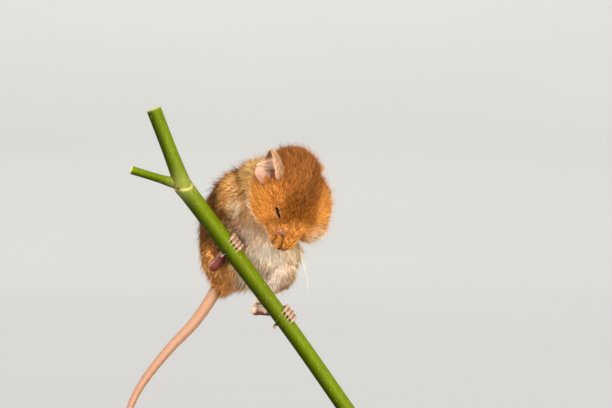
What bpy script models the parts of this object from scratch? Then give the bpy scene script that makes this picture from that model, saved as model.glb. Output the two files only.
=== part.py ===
"""A life-size harvest mouse that clings to a cut length of plant stem, on a plain display stand.

The mouse sits behind the stem, hunched, with its head bowed and its eyes closed. Both hind feet pass
behind the stem and grip it, the forepaws are folded under the chin, and the tail hangs free. +Z is up,
the stem slopes in the XZ plane at y = 0, and a viewer on the -Y side sees the crown of the bowed head.
Sizes are in millimetres and are multiplied by MM where a mesh is made. The furred forms reach out to
the tips of the coat.
"""

import math

import bmesh
import bpy
from mathutils import Matrix, Vector

MM = 0.001
GAP = 0.3

# Stand
BASE_SIZE = Vector((84.0, 54.0, 5.0))
BASE_CENTRE_Y = 5.0
BASE_CORNER = 9.0
BASE_EDGE = 0.8
ROD_RADIUS = 1.25

# Perch: its axis runs through STEM_ORIGIN, and places along it are counted from there downwards
STEM_ORIGIN = Vector((-4.2, 0.0, 53.3))
STEM_SLOPE = math.radians(36.7)
STEM_RADIUS = 1.75
STEM_LOW_RADIUS = 1.6
STEM_NODE = -17.0
STEM_END = 40.0
STEM_END_SHIFT = -0.6
NODE_SWELLING = 0.2
UPPER_LENGTH = 16.5
UPPER_LEAN = math.radians(21.0)
UPPER_RADIUS = 1.5
BRANCH_LENGTH = 11.0
BRANCH_RISE = math.radians(17.0)
BRANCH_RADIUS = 0.85

# Head: places are (forward to the nose, up to the crown, out to the animal's right) from HEAD_CENTRE
HEAD_CENTRE = Vector((7.0, -4.2, 64.0))
HEAD_FORWARD = Vector((-0.09, 0.12, -0.988)).normalized()
HEAD_ROLL = math.radians(28.0)
HEAD_FORMS = {
    "cranium": ((-2.9, 0.1, -0.2), (7.6, 6.2, 7.0)),
    "nape": ((-4.0, -2.4, -0.6), (5.6, 4.6, 6.6)),
    "cheek_right": ((-0.3, -1.3, 3.3), (5.8, 4.5, 4.4)),
    "cheek_left": ((1.3, -1.6, -4.5), (6.9, 4.7, 5.0)),
    "face": ((3.4, -0.6, 0.0), (4.9, 4.3, 4.9)),
    "jaws": ((4.8, -1.5, 0.0), (3.8, 3.5, 4.1)),
    "bridge": ((5.6, -0.2, 0.0), (3.6, 2.3, 2.7)),
    "muzzle": ((7.2, -1.0, 0.0), (3.2, 2.6, 3.0)),
    "lip": ((9.3, -0.8, 0.0), (1.35, 1.35, 1.4)),
    "chin": ((6.2, -3.0, 0.0), (3.3, 1.6, 2.2)),
    "whisker_pad_right": ((7.5, -1.2, 1.5), (2.0, 1.6, 1.6)),
    "whisker_pad_left": ((7.5, -1.2, -1.5), (2.0, 1.6, 1.6)),
}
NOSE_PLACE = (10.2, -0.45, 0.0)
NOSE_RADII = (0.65, 0.55, 0.75)
NOSTRIL_PLACE = (10.6, -0.35, 0.43)
NOSTRIL_RADII = (0.45, 0.22, 0.22)
MOUTH_LINE = ((10.3, -1.35, 0.0), (9.5, -2.15, 1.0), (8.2, -2.45, 1.9), (6.6, -2.35, 2.55))
MOUTH_RADIUS = 0.18
CLEFT_LINE = ((10.9, -0.85, 0.0), (10.4, -1.7, 0.0))
CLEFT_RADIUS = 0.14

# Eyes: a closed lid with a slit, over an eyeball in its socket
EYE_RADIUS = 1.3
EYE_FORWARD = 2.3
EYE_ANGLE = math.radians(50.0)
EYE_DEPTH = 3.7
LID_RADII = (2.3, 2.0, 1.45)
LID_DEPTH = 4.1
SLIT_LENGTH = 2.6
SLIT_WIDTH = 0.7
SLIT_DEPTH = 2.6
SLIT_SLANT = 0.42

# Ears: each has a root, a direction to its tip and one out of its opening
EAR_HEIGHT = 7.2
EAR_WIDTH = 5.2
EAR_DEPTH = 2.1
EAR_THICK = 0.55
EAR_TAPER = 0.22
EAR_FRAMES = {
    "right": ((-4.8, 2.0, 6.2), (-0.93, 0.10, 0.08), (0.36, -0.21, 0.91)),
    "left": ((-3.6, 1.4, -4.35), (-0.55, -0.75, -0.45), (0.50, -0.10, -0.80)),
}

# Hind feet: heel and pad are (along, across) on the stem, and the foot lies behind it
RIGHT_HEEL, RIGHT_PAD = (-0.4, -4.8), (-1.9, 1.5)
LEFT_HEEL, LEFT_PAD = (11.7, -3.3), (15.9, 1.6)
HEEL_DEPTH = 3.6
PAD_DEPTH = 2.9
SOLE_RADIUS = 1.1
TOE_RADIUS = 0.42
TOE_SPREAD = 0.84
TOE_ANGLES = (38.0, -62.0)
OUTER_TOE_ANGLES = (128.0, 205.0)
CLAW_LENGTH = 1.0
CLAW_TIP = 0.14

# Forefeet
RIGHT_WRIST, RIGHT_PALM = Vector((4.2, 3.0, 59.4)), Vector((4.7, 2.5, 57.6))
LEFT_WRIST, LEFT_PALM = Vector((8.2, 5.2, 59.6)), Vector((7.7, 3.7, 57.9))
FINGER_SPREAD = 0.5

# Trunk and limbs: ellipsoids as centre and radii
NECK_FORMS = {
    "throat": ((4.2, 2.6, 67.2), (6.6, 6.0, 5.6)),
    "scruff": ((1.4, 6.2, 67.0), (5.6, 5.6, 5.4)),
}
TORSO_FORMS = {
    "shoulders": ((0.0, 10.0, 63.2), (7.5, 8.2, 8.4)),
    "back": ((-1.8, 12.0, 59.6), (8.6, 8.0, 11.0)),
    "ribs": ((-2.6, 11.4, 58.6), (9.0, 8.2, 9.3)),
    "rump": ((-3.9, 11.2, 52.6), (7.5, 8.0, 7.0)),
    "belly": ((1.6, 9.7, 53.5), (7.6, 7.3, 7.7)),
    "chest": ((1.9, 8.4, 60.6), (7.6, 6.3, 6.8)),
    "tail_root": ((-6.4, 12.2, 48.0), (3.1, 3.2, 3.4)),
}
RIGHT_HAUNCH = ((-6.9, 8.0, 55.6), (4.6, 4.6, 6.6))
LEFT_HAUNCH = ((4.8, 7.4, 49.7), (3.4, 4.0, 4.1))
RIGHT_KNEE, LEFT_KNEE = Vector((-7.2, 5.6, 57.0)), Vector((4.0, 5.6, 48.2))
RIGHT_SHOULDER = ((-3.2, 6.2, 64.4), (4.7, 4.2, 5.4))
LEFT_SHOULDER = ((7.6, 7.4, 62.6), (4.2, 4.2, 5.2))
RIGHT_ELBOW, LEFT_ELBOW = Vector((0.9, 4.8, 60.8)), Vector((8.9, 6.4, 58.9))

# Tail: its centre line from inside the rump to the hooked tip
TAIL_LINE = (
    (-6.8, 13.2, 48.6), (-9.4, 12.6, 43.7), (-12.8, 11.6, 38.9), (-18.0, 10.0, 33.4), (-23.0, 8.2, 26.9),
    (-25.7, 6.8, 21.3), (-26.8, 5.6, 16.0), (-25.6, 4.9, 11.4), (-22.6, 4.6, 9.0), (-19.4, 4.8, 9.8),
)
TAIL_RADIUS = 1.3
TAIL_TIP_RADIUS = 0.32
TAIL_LENGTHS = 4
TAIL_STEPS = 5

# Fineness of the meshes: cutters are plainer than what they clear
CUTTER_EXTRA = 0.05
CUTTER_VOXEL = 0.5
CUTTER_TRIANGLES = 420
SHARP_ANGLE = math.radians(50.0)

WORLD_AXES = (Vector((1, 0, 0)), Vector((0, 1, 0)), Vector((0, 0, 1)))
STEM_ALONG = Vector((math.sin(STEM_SLOPE), 0, -math.cos(STEM_SLOPE)))
STEM_ACROSS = Vector((math.cos(STEM_SLOPE), 0, math.sin(STEM_SLOPE)))
BEHIND = WORLD_AXES[1]


def head_axes():
    """The head's forward, up and right directions, rolled from facing the viewer."""
    up = (-BEHIND + BEHIND.dot(HEAD_FORWARD) * HEAD_FORWARD).normalized()
    right = HEAD_FORWARD.cross(up)
    turned_up = up * math.cos(HEAD_ROLL) - right * math.sin(HEAD_ROLL)
    turned_right = right * math.cos(HEAD_ROLL) + up * math.sin(HEAD_ROLL)
    return HEAD_FORWARD, turned_up, turned_right


HEAD_AXES = head_axes()


def head_direction(forward, up, right):
    """A direction given in the head's own frame."""
    return HEAD_AXES[0] * forward + HEAD_AXES[1] * up + HEAD_AXES[2] * right


def head_point(forward, up, right):
    """A place given in the head's own frame."""
    return HEAD_CENTRE + head_direction(forward, up, right)


def stem_point(along, across, depth):
    """A place given along the stem, across it towards the upper right, and behind it."""
    return STEM_ORIGIN + STEM_ALONG * along + STEM_ACROSS * across + BEHIND * depth


def round_stem(along, angle, radius):
    """A place round the stem's axis. Angle 0 is its upper right side, and 90 degrees is behind it."""
    return stem_point(along, radius * math.cos(angle), radius * math.sin(angle))


# Scene and materials


def clear_scene():
    for obj in list(bpy.data.objects):
        bpy.data.objects.remove(obj, do_unlink=True)


def new_collection(name):
    made = bpy.data.collections.new(name)
    bpy.context.scene.collection.children.link(made)
    return made


def make_material(name, colour, roughness, metallic=0.0):
    made = bpy.data.materials.new(name)
    made.use_nodes = True
    shader = made.node_tree.nodes["Principled BSDF"]
    shader.inputs["Base Color"].default_value = (*colour, 1.0)
    shader.inputs["Roughness"].default_value = roughness
    shader.inputs["Metallic"].default_value = metallic
    return made


# Mesh tools


def new_object(name, data):
    obj = bpy.data.objects.new(name, data)
    WORK.objects.link(obj)
    return obj


def from_bmesh(name, bm):
    mesh = bpy.data.meshes.new(name)
    bm.to_mesh(mesh)
    bm.free()
    return new_object(name, mesh)


def placed(name, bm, centre, size, axes):
    """An object from a unit shape, stretched along the axes and moved to its centre."""
    turn = Matrix([list(axis) for axis in axes]).transposed()
    stretch = Matrix.Diagonal([length * MM for length in size])
    bm.transform(Matrix.Translation(Vector(centre) * MM) @ (turn @ stretch).to_4x4())
    if turn.determinant() < 0:
        bmesh.ops.reverse_faces(bm, faces=bm.faces)
    return from_bmesh(name, bm)


def ball(name, centre, radii, axes=WORLD_AXES, detail=3):
    """A closed ellipsoid whose radii lie along the three axes."""
    bm = bmesh.new()
    bmesh.ops.create_icosphere(bm, subdivisions=detail, radius=1.0)
    return placed(name, bm, centre, radii, axes)


def block(name, centre, size):
    bm = bmesh.new()
    bmesh.ops.create_cube(bm, size=1.0)
    return placed(name, bm, centre, size, WORLD_AXES)


def smooth_path(points, steps):
    """Points on a Catmull-Rom curve through the given vectors, of any size."""
    ends = [points[0] * 2 - points[1], *points, points[-1] * 2 - points[-2]]
    path = []
    for i in range(len(points) - 1):
        a, b, c, d = ends[i : i + 4]
        for k in range(steps):
            t = k / steps
            even = b * 2 + (a * 2 - b * 5 + c * 4 - d) * t**2
            odd = (c - a) * t + (b * 3 - a - c * 3 + d) * t**3
            path.append((even + odd) * 0.5)
    return [*path, points[-1]]


def mesh_of(obj):
    """The mesh that an object's modifiers or curve settings make of it."""
    bpy.context.view_layer.update()
    graph = bpy.context.evaluated_depsgraph_get()
    return bpy.data.meshes.new_from_object(obj.evaluated_get(graph))


def tube(name, stations, steps=3, sides=8):
    """A round tube with filled caps through (place, radius) stations, as a closed mesh."""
    path = smooth_path([Vector((*place, radius)) for place, radius in stations], steps)
    curve = bpy.data.curves.new(name, "CURVE")
    curve.dimensions = "3D"
    curve.bevel_depth = MM
    curve.bevel_resolution = (sides - 4) // 2
    curve.use_fill_caps = True
    spline = curve.splines.new("POLY")
    spline.points.add(len(path) - 1)
    for point, place in zip(spline.points, path):
        point.co = (*(place.xyz * MM), 1.0)
        point.radius = place.w
    holder = new_object(name, curve)
    mesh = mesh_of(holder)
    bpy.data.objects.remove(holder, do_unlink=True)
    bm = bmesh.new()
    bm.from_mesh(mesh)
    bpy.data.meshes.remove(mesh)
    bmesh.ops.remove_doubles(bm, verts=bm.verts, dist=0.02 * MM)
    bmesh.ops.recalc_face_normals(bm, faces=bm.faces)
    return from_bmesh(name, bm)


def apply_modifiers(obj):
    """Replaces the object's mesh by what its modifiers make of it."""
    mesh = mesh_of(obj)
    obj.modifiers.clear()
    old, obj.data = obj.data, mesh
    bpy.data.meshes.remove(old)
    return obj


def drop(objs):
    for obj in objs:
        bpy.data.objects.remove(obj, do_unlink=True)


def keep_largest(obj):
    """Leaves only the closed surface that holds the most vertices."""
    bm = bmesh.new()
    bm.from_mesh(obj.data)
    left, groups = set(bm.verts), []
    while left:
        group, front = set(), [left.pop()]
        while front:
            vert = front.pop()
            group.add(vert)
            near = {edge.other_vert(vert) for edge in vert.link_edges}
            front += near & left
            left -= near
        groups.append(group)
    largest = max(groups, key=len)
    bmesh.ops.delete(bm, geom=[vert for vert in bm.verts if vert not in largest], context="VERTS")
    bm.to_mesh(obj.data)
    bm.free()
    return obj


def cut(obj, cutter):
    """Takes the cutter's space out of the object and removes the cutter."""
    modifier = obj.modifiers.new("cut", "BOOLEAN")
    modifier.operation = "DIFFERENCE"
    modifier.object = cutter
    apply_modifiers(obj)
    drop([cutter])


def union(name, pieces):
    """One closed body from overlapping closed pieces, by one Boolean on their collection."""
    first, rest = pieces[0], pieces[1:]
    group = new_collection(name + "_pieces")
    for piece in rest:
        WORK.objects.unlink(piece)
        group.objects.link(piece)
    modifier = first.modifiers.new("join", "BOOLEAN")
    modifier.operation = "UNION"
    modifier.operand_type = "COLLECTION"
    modifier.collection = group
    apply_modifiers(first)
    drop(rest)
    bpy.data.collections.remove(group)
    return keep_largest(first)


def thin_out(obj, triangles):
    """Fewer faces, about as many triangles as asked for."""
    modifier = obj.modifiers.new("thin_out", "DECIMATE")
    modifier.ratio = min(1.0, triangles / (2.0 * len(obj.data.polygons)))
    return apply_modifiers(obj)


def remesh(obj, voxel):
    modifier = obj.modifiers.new("skin", "REMESH")
    modifier.mode = "VOXEL"
    modifier.voxel_size = voxel * MM
    return apply_modifiers(obj)


def fuse(name, pieces, voxel, rounds, triangles):
    """One smooth closed form over overlapping pieces."""
    bm = bmesh.new()
    for piece in pieces:
        bm.from_mesh(piece.data)
    drop(pieces)
    obj = remesh(from_bmesh(name, bm), voxel)
    modifier = obj.modifiers.new("smooth", "SMOOTH")
    modifier.factor = 0.5
    modifier.iterations = rounds
    apply_modifiers(obj)
    return thin_out(keep_largest(obj), triangles)


def grown(obj):
    """A plainer copy whose surface lies further out by the gap, used to clear a neighbour."""
    copy = new_object(obj.name + "_grown", obj.data.copy())
    outwards = copy.modifiers.new("grow", "DISPLACE")
    outwards.strength = (GAP + CUTTER_EXTRA) * MM
    outwards.mid_level = 0.0
    apply_modifiers(copy)
    return thin_out(remesh(copy, CUTTER_VOXEL), CUTTER_TRIANGLES)


def cut_clear(obj, others):
    """Cuts the object back until it keeps the gap to each of the others."""
    for other in others:
        cut(obj, grown(other))
    return keep_largest(obj)


# Head


def head_ball(name, place, radii, detail=3):
    return ball(name, head_point(*place), radii, HEAD_AXES, detail)


def eye_place(side):
    """The direction in which an eye looks, and the place below it on the head's axis."""
    look = head_direction(0, math.cos(EYE_ANGLE), math.sin(EYE_ANGLE) * side)
    return look, head_point(EYE_FORWARD, 0, 0)


def slit_axes(side):
    """The directions along an eye's slit, across it and out of the head."""
    look, _ = eye_place(side)
    towards_crown = head_direction(0, math.sin(EYE_ANGLE), -math.cos(EYE_ANGLE) * side)
    along = (HEAD_FORWARD + towards_crown * SLIT_SLANT).normalized()
    return along, look.cross(along), look


def eye_cutter(side):
    """The socket with its slit to the outside, as one cutter."""
    look, axis = eye_place(side)
    slit_radii = (SLIT_LENGTH / 2, SLIT_WIDTH / 2, SLIT_DEPTH)
    forms = [
        ball("socket", axis + look * EYE_DEPTH, (EYE_RADIUS + GAP,) * 3),
        ball("slit", axis + look * (EYE_DEPTH + EYE_RADIUS), slit_radii, slit_axes(side)),
    ]
    return fuse("socket", forms, voxel=0.12, rounds=1, triangles=420)


def build_head():
    """The head with its lids, eye sockets, nose, nostrils, lips and the line of the mouth."""
    forms = [head_ball(name, *form) for name, form in HEAD_FORMS.items()]
    for side in (1, -1):
        look, axis = eye_place(side)
        forms.append(ball("lid", axis + look * LID_DEPTH, LID_RADII, slit_axes(side)))
    head = fuse("head", forms, voxel=0.3, rounds=6, triangles=2000)
    head = union("head", [head, head_ball("nose", NOSE_PLACE, NOSE_RADII, 2)])
    cutters = [tube("cleft", [(head_point(*place), CLEFT_RADIUS) for place in CLEFT_LINE], sides=6)]
    for side in (1, -1):
        forward, up, out = NOSTRIL_PLACE
        line = [(head_point(f, u, r * side), MOUTH_RADIUS) for f, u, r in MOUTH_LINE]
        cutters.append(eye_cutter(side))
        cutters.append(head_ball("nostril", (forward, up, out * side), NOSTRIL_RADII, 2))
        cutters.append(tube("mouth", line, sides=6))
    for cutter in cutters:
        cut(head, cutter)
    return keep_largest(head)


def build_eye(side):
    look, axis = eye_place(side)
    return ball("eye", axis + look * EYE_DEPTH, (EYE_RADIUS,) * 3)


def build_ear(side, head):
    """A cupped ear: half an ellipsoid, drawn in towards its tip and given its thickness."""
    root, tip, opening = EAR_FRAMES[side]
    tip = head_direction(*tip).normalized()
    opening = head_direction(*opening)
    opening = (opening - opening.dot(tip) * tip).normalized()
    bm = bmesh.new()
    bmesh.ops.create_uvsphere(bm, u_segments=18, v_segments=14, radius=1.0)
    front = [vert for vert in bm.verts if vert.co.z > 0.05]
    bmesh.ops.delete(bm, geom=front, context="VERTS")
    for vert in bm.verts:
        vert.co.y *= 1.0 - EAR_TAPER * max(0.0, vert.co.x) ** 2
    centre = head_point(*root) + tip * EAR_HEIGHT * 0.28
    size = (EAR_HEIGHT / 2, EAR_WIDTH / 2, EAR_DEPTH)
    ear = placed("ear", bm, centre, size, (tip, tip.cross(opening), opening))
    wall = ear.modifiers.new("wall", "SOLIDIFY")
    wall.thickness = EAR_THICK * MM
    wall.offset = 0.0
    return cut_clear(apply_modifiers(ear), [head])


# Feet


def toe(places, radius):
    """A toe through the given places that ends in a tapered claw."""
    last, before = places[-1], places[-2]
    tip = last + (last - before).normalized() * CLAW_LENGTH
    stations = [(place, radius * (1.06 - 0.06 * i)) for i, place in enumerate(places)]
    return tube("toe", [*stations, (tip, CLAW_TIP)], steps=2, sides=6)


def gripping_toe(along, angles, reach, root):
    """A toe from the foot round the stem, from one angle to the other, moving on by its reach."""
    start, end = (math.radians(angle) for angle in angles)
    places = [root]
    for t in (0.0, 0.35, 0.7, 1.0):
        bow = 0.12 * math.sin(math.pi * t)
        radius = STEM_RADIUS + GAP + TOE_RADIUS + 0.05 + bow
        places.append(round_stem(along + reach * t, start + (end - start) * t, radius))
    return toe(places, TOE_RADIUS)


def build_hind_foot(heel, pad):
    """A hind foot that holds the stem from behind: four toes over its far edge, one over the near."""
    heel_place = stem_point(*heel, HEEL_DEPTH)
    pad_place = stem_point(*pad, PAD_DEPTH)
    middle = heel_place.lerp(pad_place, 0.5) + BEHIND * 0.25
    sole = [(heel_place, SOLE_RADIUS - 0.05), (middle, SOLE_RADIUS + 0.05), (pad_place, SOLE_RADIUS - 0.05)]
    pieces = [
        tube("sole", sole, steps=4, sides=12),
        ball("pad", pad_place, (1.3, 1.1, 1.3), detail=2),
        ball("heel", heel_place, (1.15, 1.15, 1.15), detail=2),
    ]
    for i in range(4):
        step = i - 1.5
        root = pad_place + STEM_ALONG * step * 0.55
        pieces.append(gripping_toe(pad[0] + step * TOE_SPREAD, TOE_ANGLES, 0.5, root))
    pieces.append(gripping_toe(pad[0] + 0.35, OUTER_TOE_ANGLES, 0.4, middle))
    return union("foot", pieces)


def build_forefoot(wrist, palm):
    """A folded forepaw with its four toes bent towards the chest."""
    reach = (palm - wrist).normalized()
    across = reach.cross(BEHIND).normalized()
    pieces = [
        tube("wrist", [(wrist, 0.95), (palm, 1.0)], steps=3, sides=10),
        ball("palm", palm, (1.15, 0.85, 1.05), detail=2),
    ]
    for i in range(4):
        sideways = across * (i - 1.5) * FINGER_SPREAD
        knuckle = palm + sideways * 1.2 + reach * 1.25
        bent = palm + sideways * 1.25 + reach * 1.95 + BEHIND * 0.75
        pieces.append(toe([palm + sideways * 0.7, knuckle, bent], TOE_RADIUS))
    return union("paw", pieces)


# Trunk and limbs


def build_neck():
    forms = [ball(name, *form) for name, form in NECK_FORMS.items()]
    return fuse("neck", forms, voxel=0.4, rounds=4, triangles=500)


def build_torso():
    """Shoulders, ribs, belly and rump as one smooth form."""
    forms = [ball(name, *form) for name, form in TORSO_FORMS.items()]
    return fuse("torso", forms, voxel=0.45, rounds=24, triangles=1700)


def build_limb(top, stations):
    """A leg's fleshy upper part and the narrowing length below it, as one form."""
    forms = [ball("top", *top), tube("length", stations, sides=12)]
    return fuse("limb", forms, voxel=0.35, rounds=4, triangles=450)


def build_hind_leg(haunch, knee, heel):
    heel_place = stem_point(*heel, HEEL_DEPTH)
    return build_limb(haunch, [(knee, 2.4), (knee.lerp(heel_place, 0.5), 1.6), (heel_place, 1.2)])


def build_foreleg(shoulder, elbow, wrist):
    return build_limb(shoulder, [(Vector(shoulder[0]), 2.6), (elbow, 1.9), (wrist, 1.15)])


def build_tail(torso):
    """The tail in a few lengths that meet face to face."""
    path = smooth_path([Vector(place) for place in TAIL_LINE], TAIL_STEPS)
    last = len(path) - 1
    thinning = TAIL_TIP_RADIUS - TAIL_RADIUS
    stations = [(place, TAIL_RADIUS + thinning * (i / last) ** 1.1) for i, place in enumerate(path)]
    step = last // TAIL_LENGTHS
    lengths = []
    for i in range(TAIL_LENGTHS):
        final = last if i == TAIL_LENGTHS - 1 else (i + 1) * step
        part = stations[i * step : final + 1]
        if i > 0:
            place, radius = part[0]
            onward = (part[1][0] - place).normalized()
            part[0] = (place + onward * GAP, radius)
        lengths.append(tube("tail", part, steps=1, sides=10))
    cut_clear(lengths[0], [torso])
    return lengths


# Perch and stand


def stem_foot():
    """The middle of the stem's flat lower end."""
    return stem_point(STEM_END, STEM_END_SHIFT, 0)


def build_stem():
    """The cut length of stem with its node, the thinner length above and a side branch's stub."""
    node = stem_point(STEM_NODE, 0, 0)
    top = node + Vector((-math.sin(UPPER_LEAN), 0, math.cos(UPPER_LEAN))) * UPPER_LENGTH
    side = node + Vector((-math.cos(BRANCH_RISE), 0, math.sin(BRANCH_RISE))) * BRANCH_LENGTH
    stem = union("stem", [
        tube("main", [
            (stem_foot() + STEM_ALONG * 3.0, STEM_LOW_RADIUS),
            (stem_foot(), STEM_LOW_RADIUS),
            (stem_point(STEM_END / 2, 0, 0), STEM_LOW_RADIUS),
            (stem_point(0, 0, 0), STEM_RADIUS),
            (stem_point(STEM_NODE / 2, 0, 0), STEM_RADIUS),
            (stem_point(STEM_NODE + 2.0, 0, 0), STEM_RADIUS + NODE_SWELLING / 2),
            (node, STEM_RADIUS + NODE_SWELLING),
            (node.lerp(top, 0.12), UPPER_RADIUS + NODE_SWELLING),
            (node.lerp(top, 0.5), UPPER_RADIUS),
            (top, UPPER_RADIUS),
        ], steps=3, sides=12),
        tube("branch", [
            (node, BRANCH_RADIUS + NODE_SWELLING),
            (node.lerp(side, 0.22), BRANCH_RADIUS + NODE_SWELLING),
            (node.lerp(side, 0.5), BRANCH_RADIUS),
            (side, BRANCH_RADIUS),
        ], steps=3, sides=10),
    ])
    cut(stem, block("below", stem_foot() - Vector((0, 0, 10.0)), (20.0, 20.0, 20.0)))
    return keep_largest(stem)


def build_base():
    """A flat base with round corners and softened edges."""
    bm = bmesh.new()
    bmesh.ops.create_cube(bm, size=1.0)
    upright = [edge for edge in bm.edges if edge.verts[0].co.xy == edge.verts[1].co.xy]
    centre = (0, BASE_CENTRE_Y, BASE_SIZE.z / 2)
    size = Matrix.Diagonal([length * MM for length in BASE_SIZE]).to_4x4()
    bm.transform(Matrix.Translation(Vector(centre) * MM) @ size)
    bmesh.ops.bevel(bm, geom=upright, offset=BASE_CORNER * MM, segments=8, profile=0.5, affect="EDGES")
    base = from_bmesh("stand_base", bm)
    edge = base.modifiers.new("edge", "BEVEL")
    edge.width = BASE_EDGE * MM
    edge.segments = 2
    edge.limit_method = "ANGLE"
    edge.angle_limit = math.radians(60)
    return apply_modifiers(base)


def build_rod():
    """The upright rod, from just above the base to just below the stem's flat cut end."""
    foot = stem_foot()
    low, high = BASE_SIZE.z + GAP, foot.z - GAP
    bm = bmesh.new()
    bmesh.ops.create_cone(bm, cap_ends=True, segments=20, radius1=1.0, radius2=1.0, depth=1.0)
    size = (ROD_RADIUS, ROD_RADIUS, high - low)
    return placed("stand_rod", bm, (foot.x, 0, (low + high) / 2), size, WORLD_AXES)


def finish(obj, name, material):
    """Puts a finished node in the model's collection with its material and shading."""
    obj.name = name
    WORK.objects.unlink(obj)
    MODEL.objects.link(obj)
    obj.data.materials.clear()
    obj.data.materials.append(material)
    obj.data.shade_smooth()
    obj.data.set_sharp_from_angle(angle=SHARP_ANGLE)


def build_model():
    """Makes every node. A node made later is cut clear of those made before it."""
    coat = make_material("coat", (0.55, 0.25, 0.08), 0.9)
    skin = make_material("bare_skin", (0.85, 0.55, 0.42), 0.6)
    dark = make_material("eye", (0.01, 0.008, 0.006), 0.15)
    green = make_material("stem", (0.22, 0.38, 0.03), 0.5)
    wood = make_material("stand_wood", (0.20, 0.12, 0.07), 0.6)
    steel = make_material("stand_steel", (0.6, 0.6, 0.6), 0.3, 1.0)

    stem = build_stem()
    right_foot = build_hind_foot(RIGHT_HEEL, RIGHT_PAD)
    left_foot = build_hind_foot(LEFT_HEEL, LEFT_PAD)
    right_paw = build_forefoot(RIGHT_WRIST, RIGHT_PALM)
    left_paw = build_forefoot(LEFT_WRIST, LEFT_PALM)
    head = build_head()
    right_ear = build_ear("right", head)
    left_ear = build_ear("left", head)
    right_leg = cut_clear(build_hind_leg(RIGHT_HAUNCH, RIGHT_KNEE, RIGHT_HEEL), [stem, right_foot])
    left_leg = cut_clear(build_hind_leg(LEFT_HAUNCH, LEFT_KNEE, LEFT_HEEL), [stem, left_foot])
    right_arm = build_foreleg(RIGHT_SHOULDER, RIGHT_ELBOW, RIGHT_WRIST)
    left_arm = build_foreleg(LEFT_SHOULDER, LEFT_ELBOW, LEFT_WRIST)
    cut_clear(right_arm, [stem, right_paw, head, right_leg])
    cut_clear(left_arm, [left_paw, head])
    neck = cut_clear(build_neck(), [head, right_ear, left_ear, right_arm, left_arm])
    torso = build_torso()
    cut_clear(torso, [stem, head, right_foot, right_paw, left_paw, right_leg, left_leg, right_arm,
                      left_arm, neck])
    tail = build_tail(torso)

    for name, obj, material in [
        ("head", head, coat), ("neck", neck, coat), ("torso", torso, coat),
        ("ear_right", right_ear, skin), ("ear_left", left_ear, skin),
        ("eye_right", build_eye(1), dark), ("eye_left", build_eye(-1), dark),
        ("foreleg_right", right_arm, coat), ("foreleg_left", left_arm, coat),
        ("forefoot_right", right_paw, skin), ("forefoot_left", left_paw, skin),
        ("hindleg_right", right_leg, coat), ("hindleg_left", left_leg, coat),
        ("hindfoot_right", right_foot, skin), ("hindfoot_left", left_foot, skin),
        ("stem", stem, green), ("stand_base", build_base(), wood), ("stand_rod", build_rod(), steel),
    ]:
        finish(obj, name, material)
    for i, length in enumerate(tail):
        finish(length, f"tail_{i + 1}", skin)


clear_scene()
MODEL = new_collection("harvest_mouse")
WORK = new_collection("work")
build_model()
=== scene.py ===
import math

import bmesh
import bpy
import numpy as np
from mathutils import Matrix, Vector
from mathutils.bvhtree import BVHTree
from mathutils.kdtree import KDTree


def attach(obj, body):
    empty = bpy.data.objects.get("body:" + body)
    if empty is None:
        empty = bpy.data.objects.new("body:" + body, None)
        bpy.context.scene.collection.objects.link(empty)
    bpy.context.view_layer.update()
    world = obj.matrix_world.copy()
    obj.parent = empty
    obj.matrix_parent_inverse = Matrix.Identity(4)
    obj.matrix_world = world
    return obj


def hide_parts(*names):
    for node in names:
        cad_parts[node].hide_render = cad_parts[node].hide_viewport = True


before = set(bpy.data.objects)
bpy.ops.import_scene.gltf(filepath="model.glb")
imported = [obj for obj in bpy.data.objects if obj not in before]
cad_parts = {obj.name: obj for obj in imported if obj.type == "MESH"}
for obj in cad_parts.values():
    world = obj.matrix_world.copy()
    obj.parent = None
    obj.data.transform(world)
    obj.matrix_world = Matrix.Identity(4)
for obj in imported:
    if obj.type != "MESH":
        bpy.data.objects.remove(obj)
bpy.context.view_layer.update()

MM = 0.001

# Places of the pose in millimetres. Most repeat those of the CAD source
STEM_ORIGIN = np.array((-4.2, 0.0, 53.3))
STEM_SLOPE = math.radians(36.7)
STEM_RADIUS = 1.75
HEAD_CENTRE = np.array((7.0, -4.2, 64.0))
HEAD_FORWARD = np.array((-0.09, 0.12, -0.988))
HEAD_ROLL = math.radians(28.0)
# Centres and radii of the head's forms, along its forward, up and right directions. Some differ from those
# of the CAD source, so that the coat closes over the hollows between them
HEAD_FORMS = (
    ((-2.9, 0.1, 0.1), (7.6, 6.2, 6.7)),
    ((1.6, -0.4, -3.4), (5.2, 4.4, 3.9)),
    ((-4.0, -2.4, -0.6), (5.6, 4.6, 6.6)),
    ((-0.3, -1.3, 3.3), (5.8, 4.5, 4.4)),
    ((1.3, -1.6, -4.5), (6.9, 4.7, 5.0)),
    ((2.2, 0.0, 0.0), (5.6, 4.45, 4.9)),
    ((4.8, -1.5, 0.0), (3.8, 3.5, 4.1)),
    ((5.6, -0.2, 0.0), (3.6, 2.3, 2.7)),
    ((7.2, -1.0, 0.0), (3.2, 2.6, 3.0)),
    ((9.3, -0.8, 0.0), (1.35, 1.35, 1.4)),
    ((6.2, -3.0, 0.0), (3.3, 1.6, 2.2)),
    ((7.5, -1.2, 1.5), (2.0, 1.6, 1.6)),
    ((7.5, -1.2, -1.5), (2.0, 1.6, 1.6)),
)
RIGHT_HEEL, RIGHT_PAD = (-0.4, -4.8), (-1.9, 1.5)
LEFT_HEEL, LEFT_PAD = (11.7, -3.3), (15.9, 1.6)
HEEL_DEPTH, PAD_DEPTH = 3.6, 2.9
RIGHT_HEEL_RAISE = 0.6
RIGHT_KNEE, LEFT_KNEE = np.array((-7.2, 5.6, 57.0)), np.array((2.9, 5.8, 48.2))
RIGHT_WRIST, RIGHT_PALM = np.array((4.2, 3.0, 59.4)), np.array((4.7, 2.5, 57.6))
LEFT_WRIST, LEFT_PALM = np.array((8.2, 5.2, 59.6)), np.array((7.7, 3.7, 57.9))
EYE_FORWARD = 2.3
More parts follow.
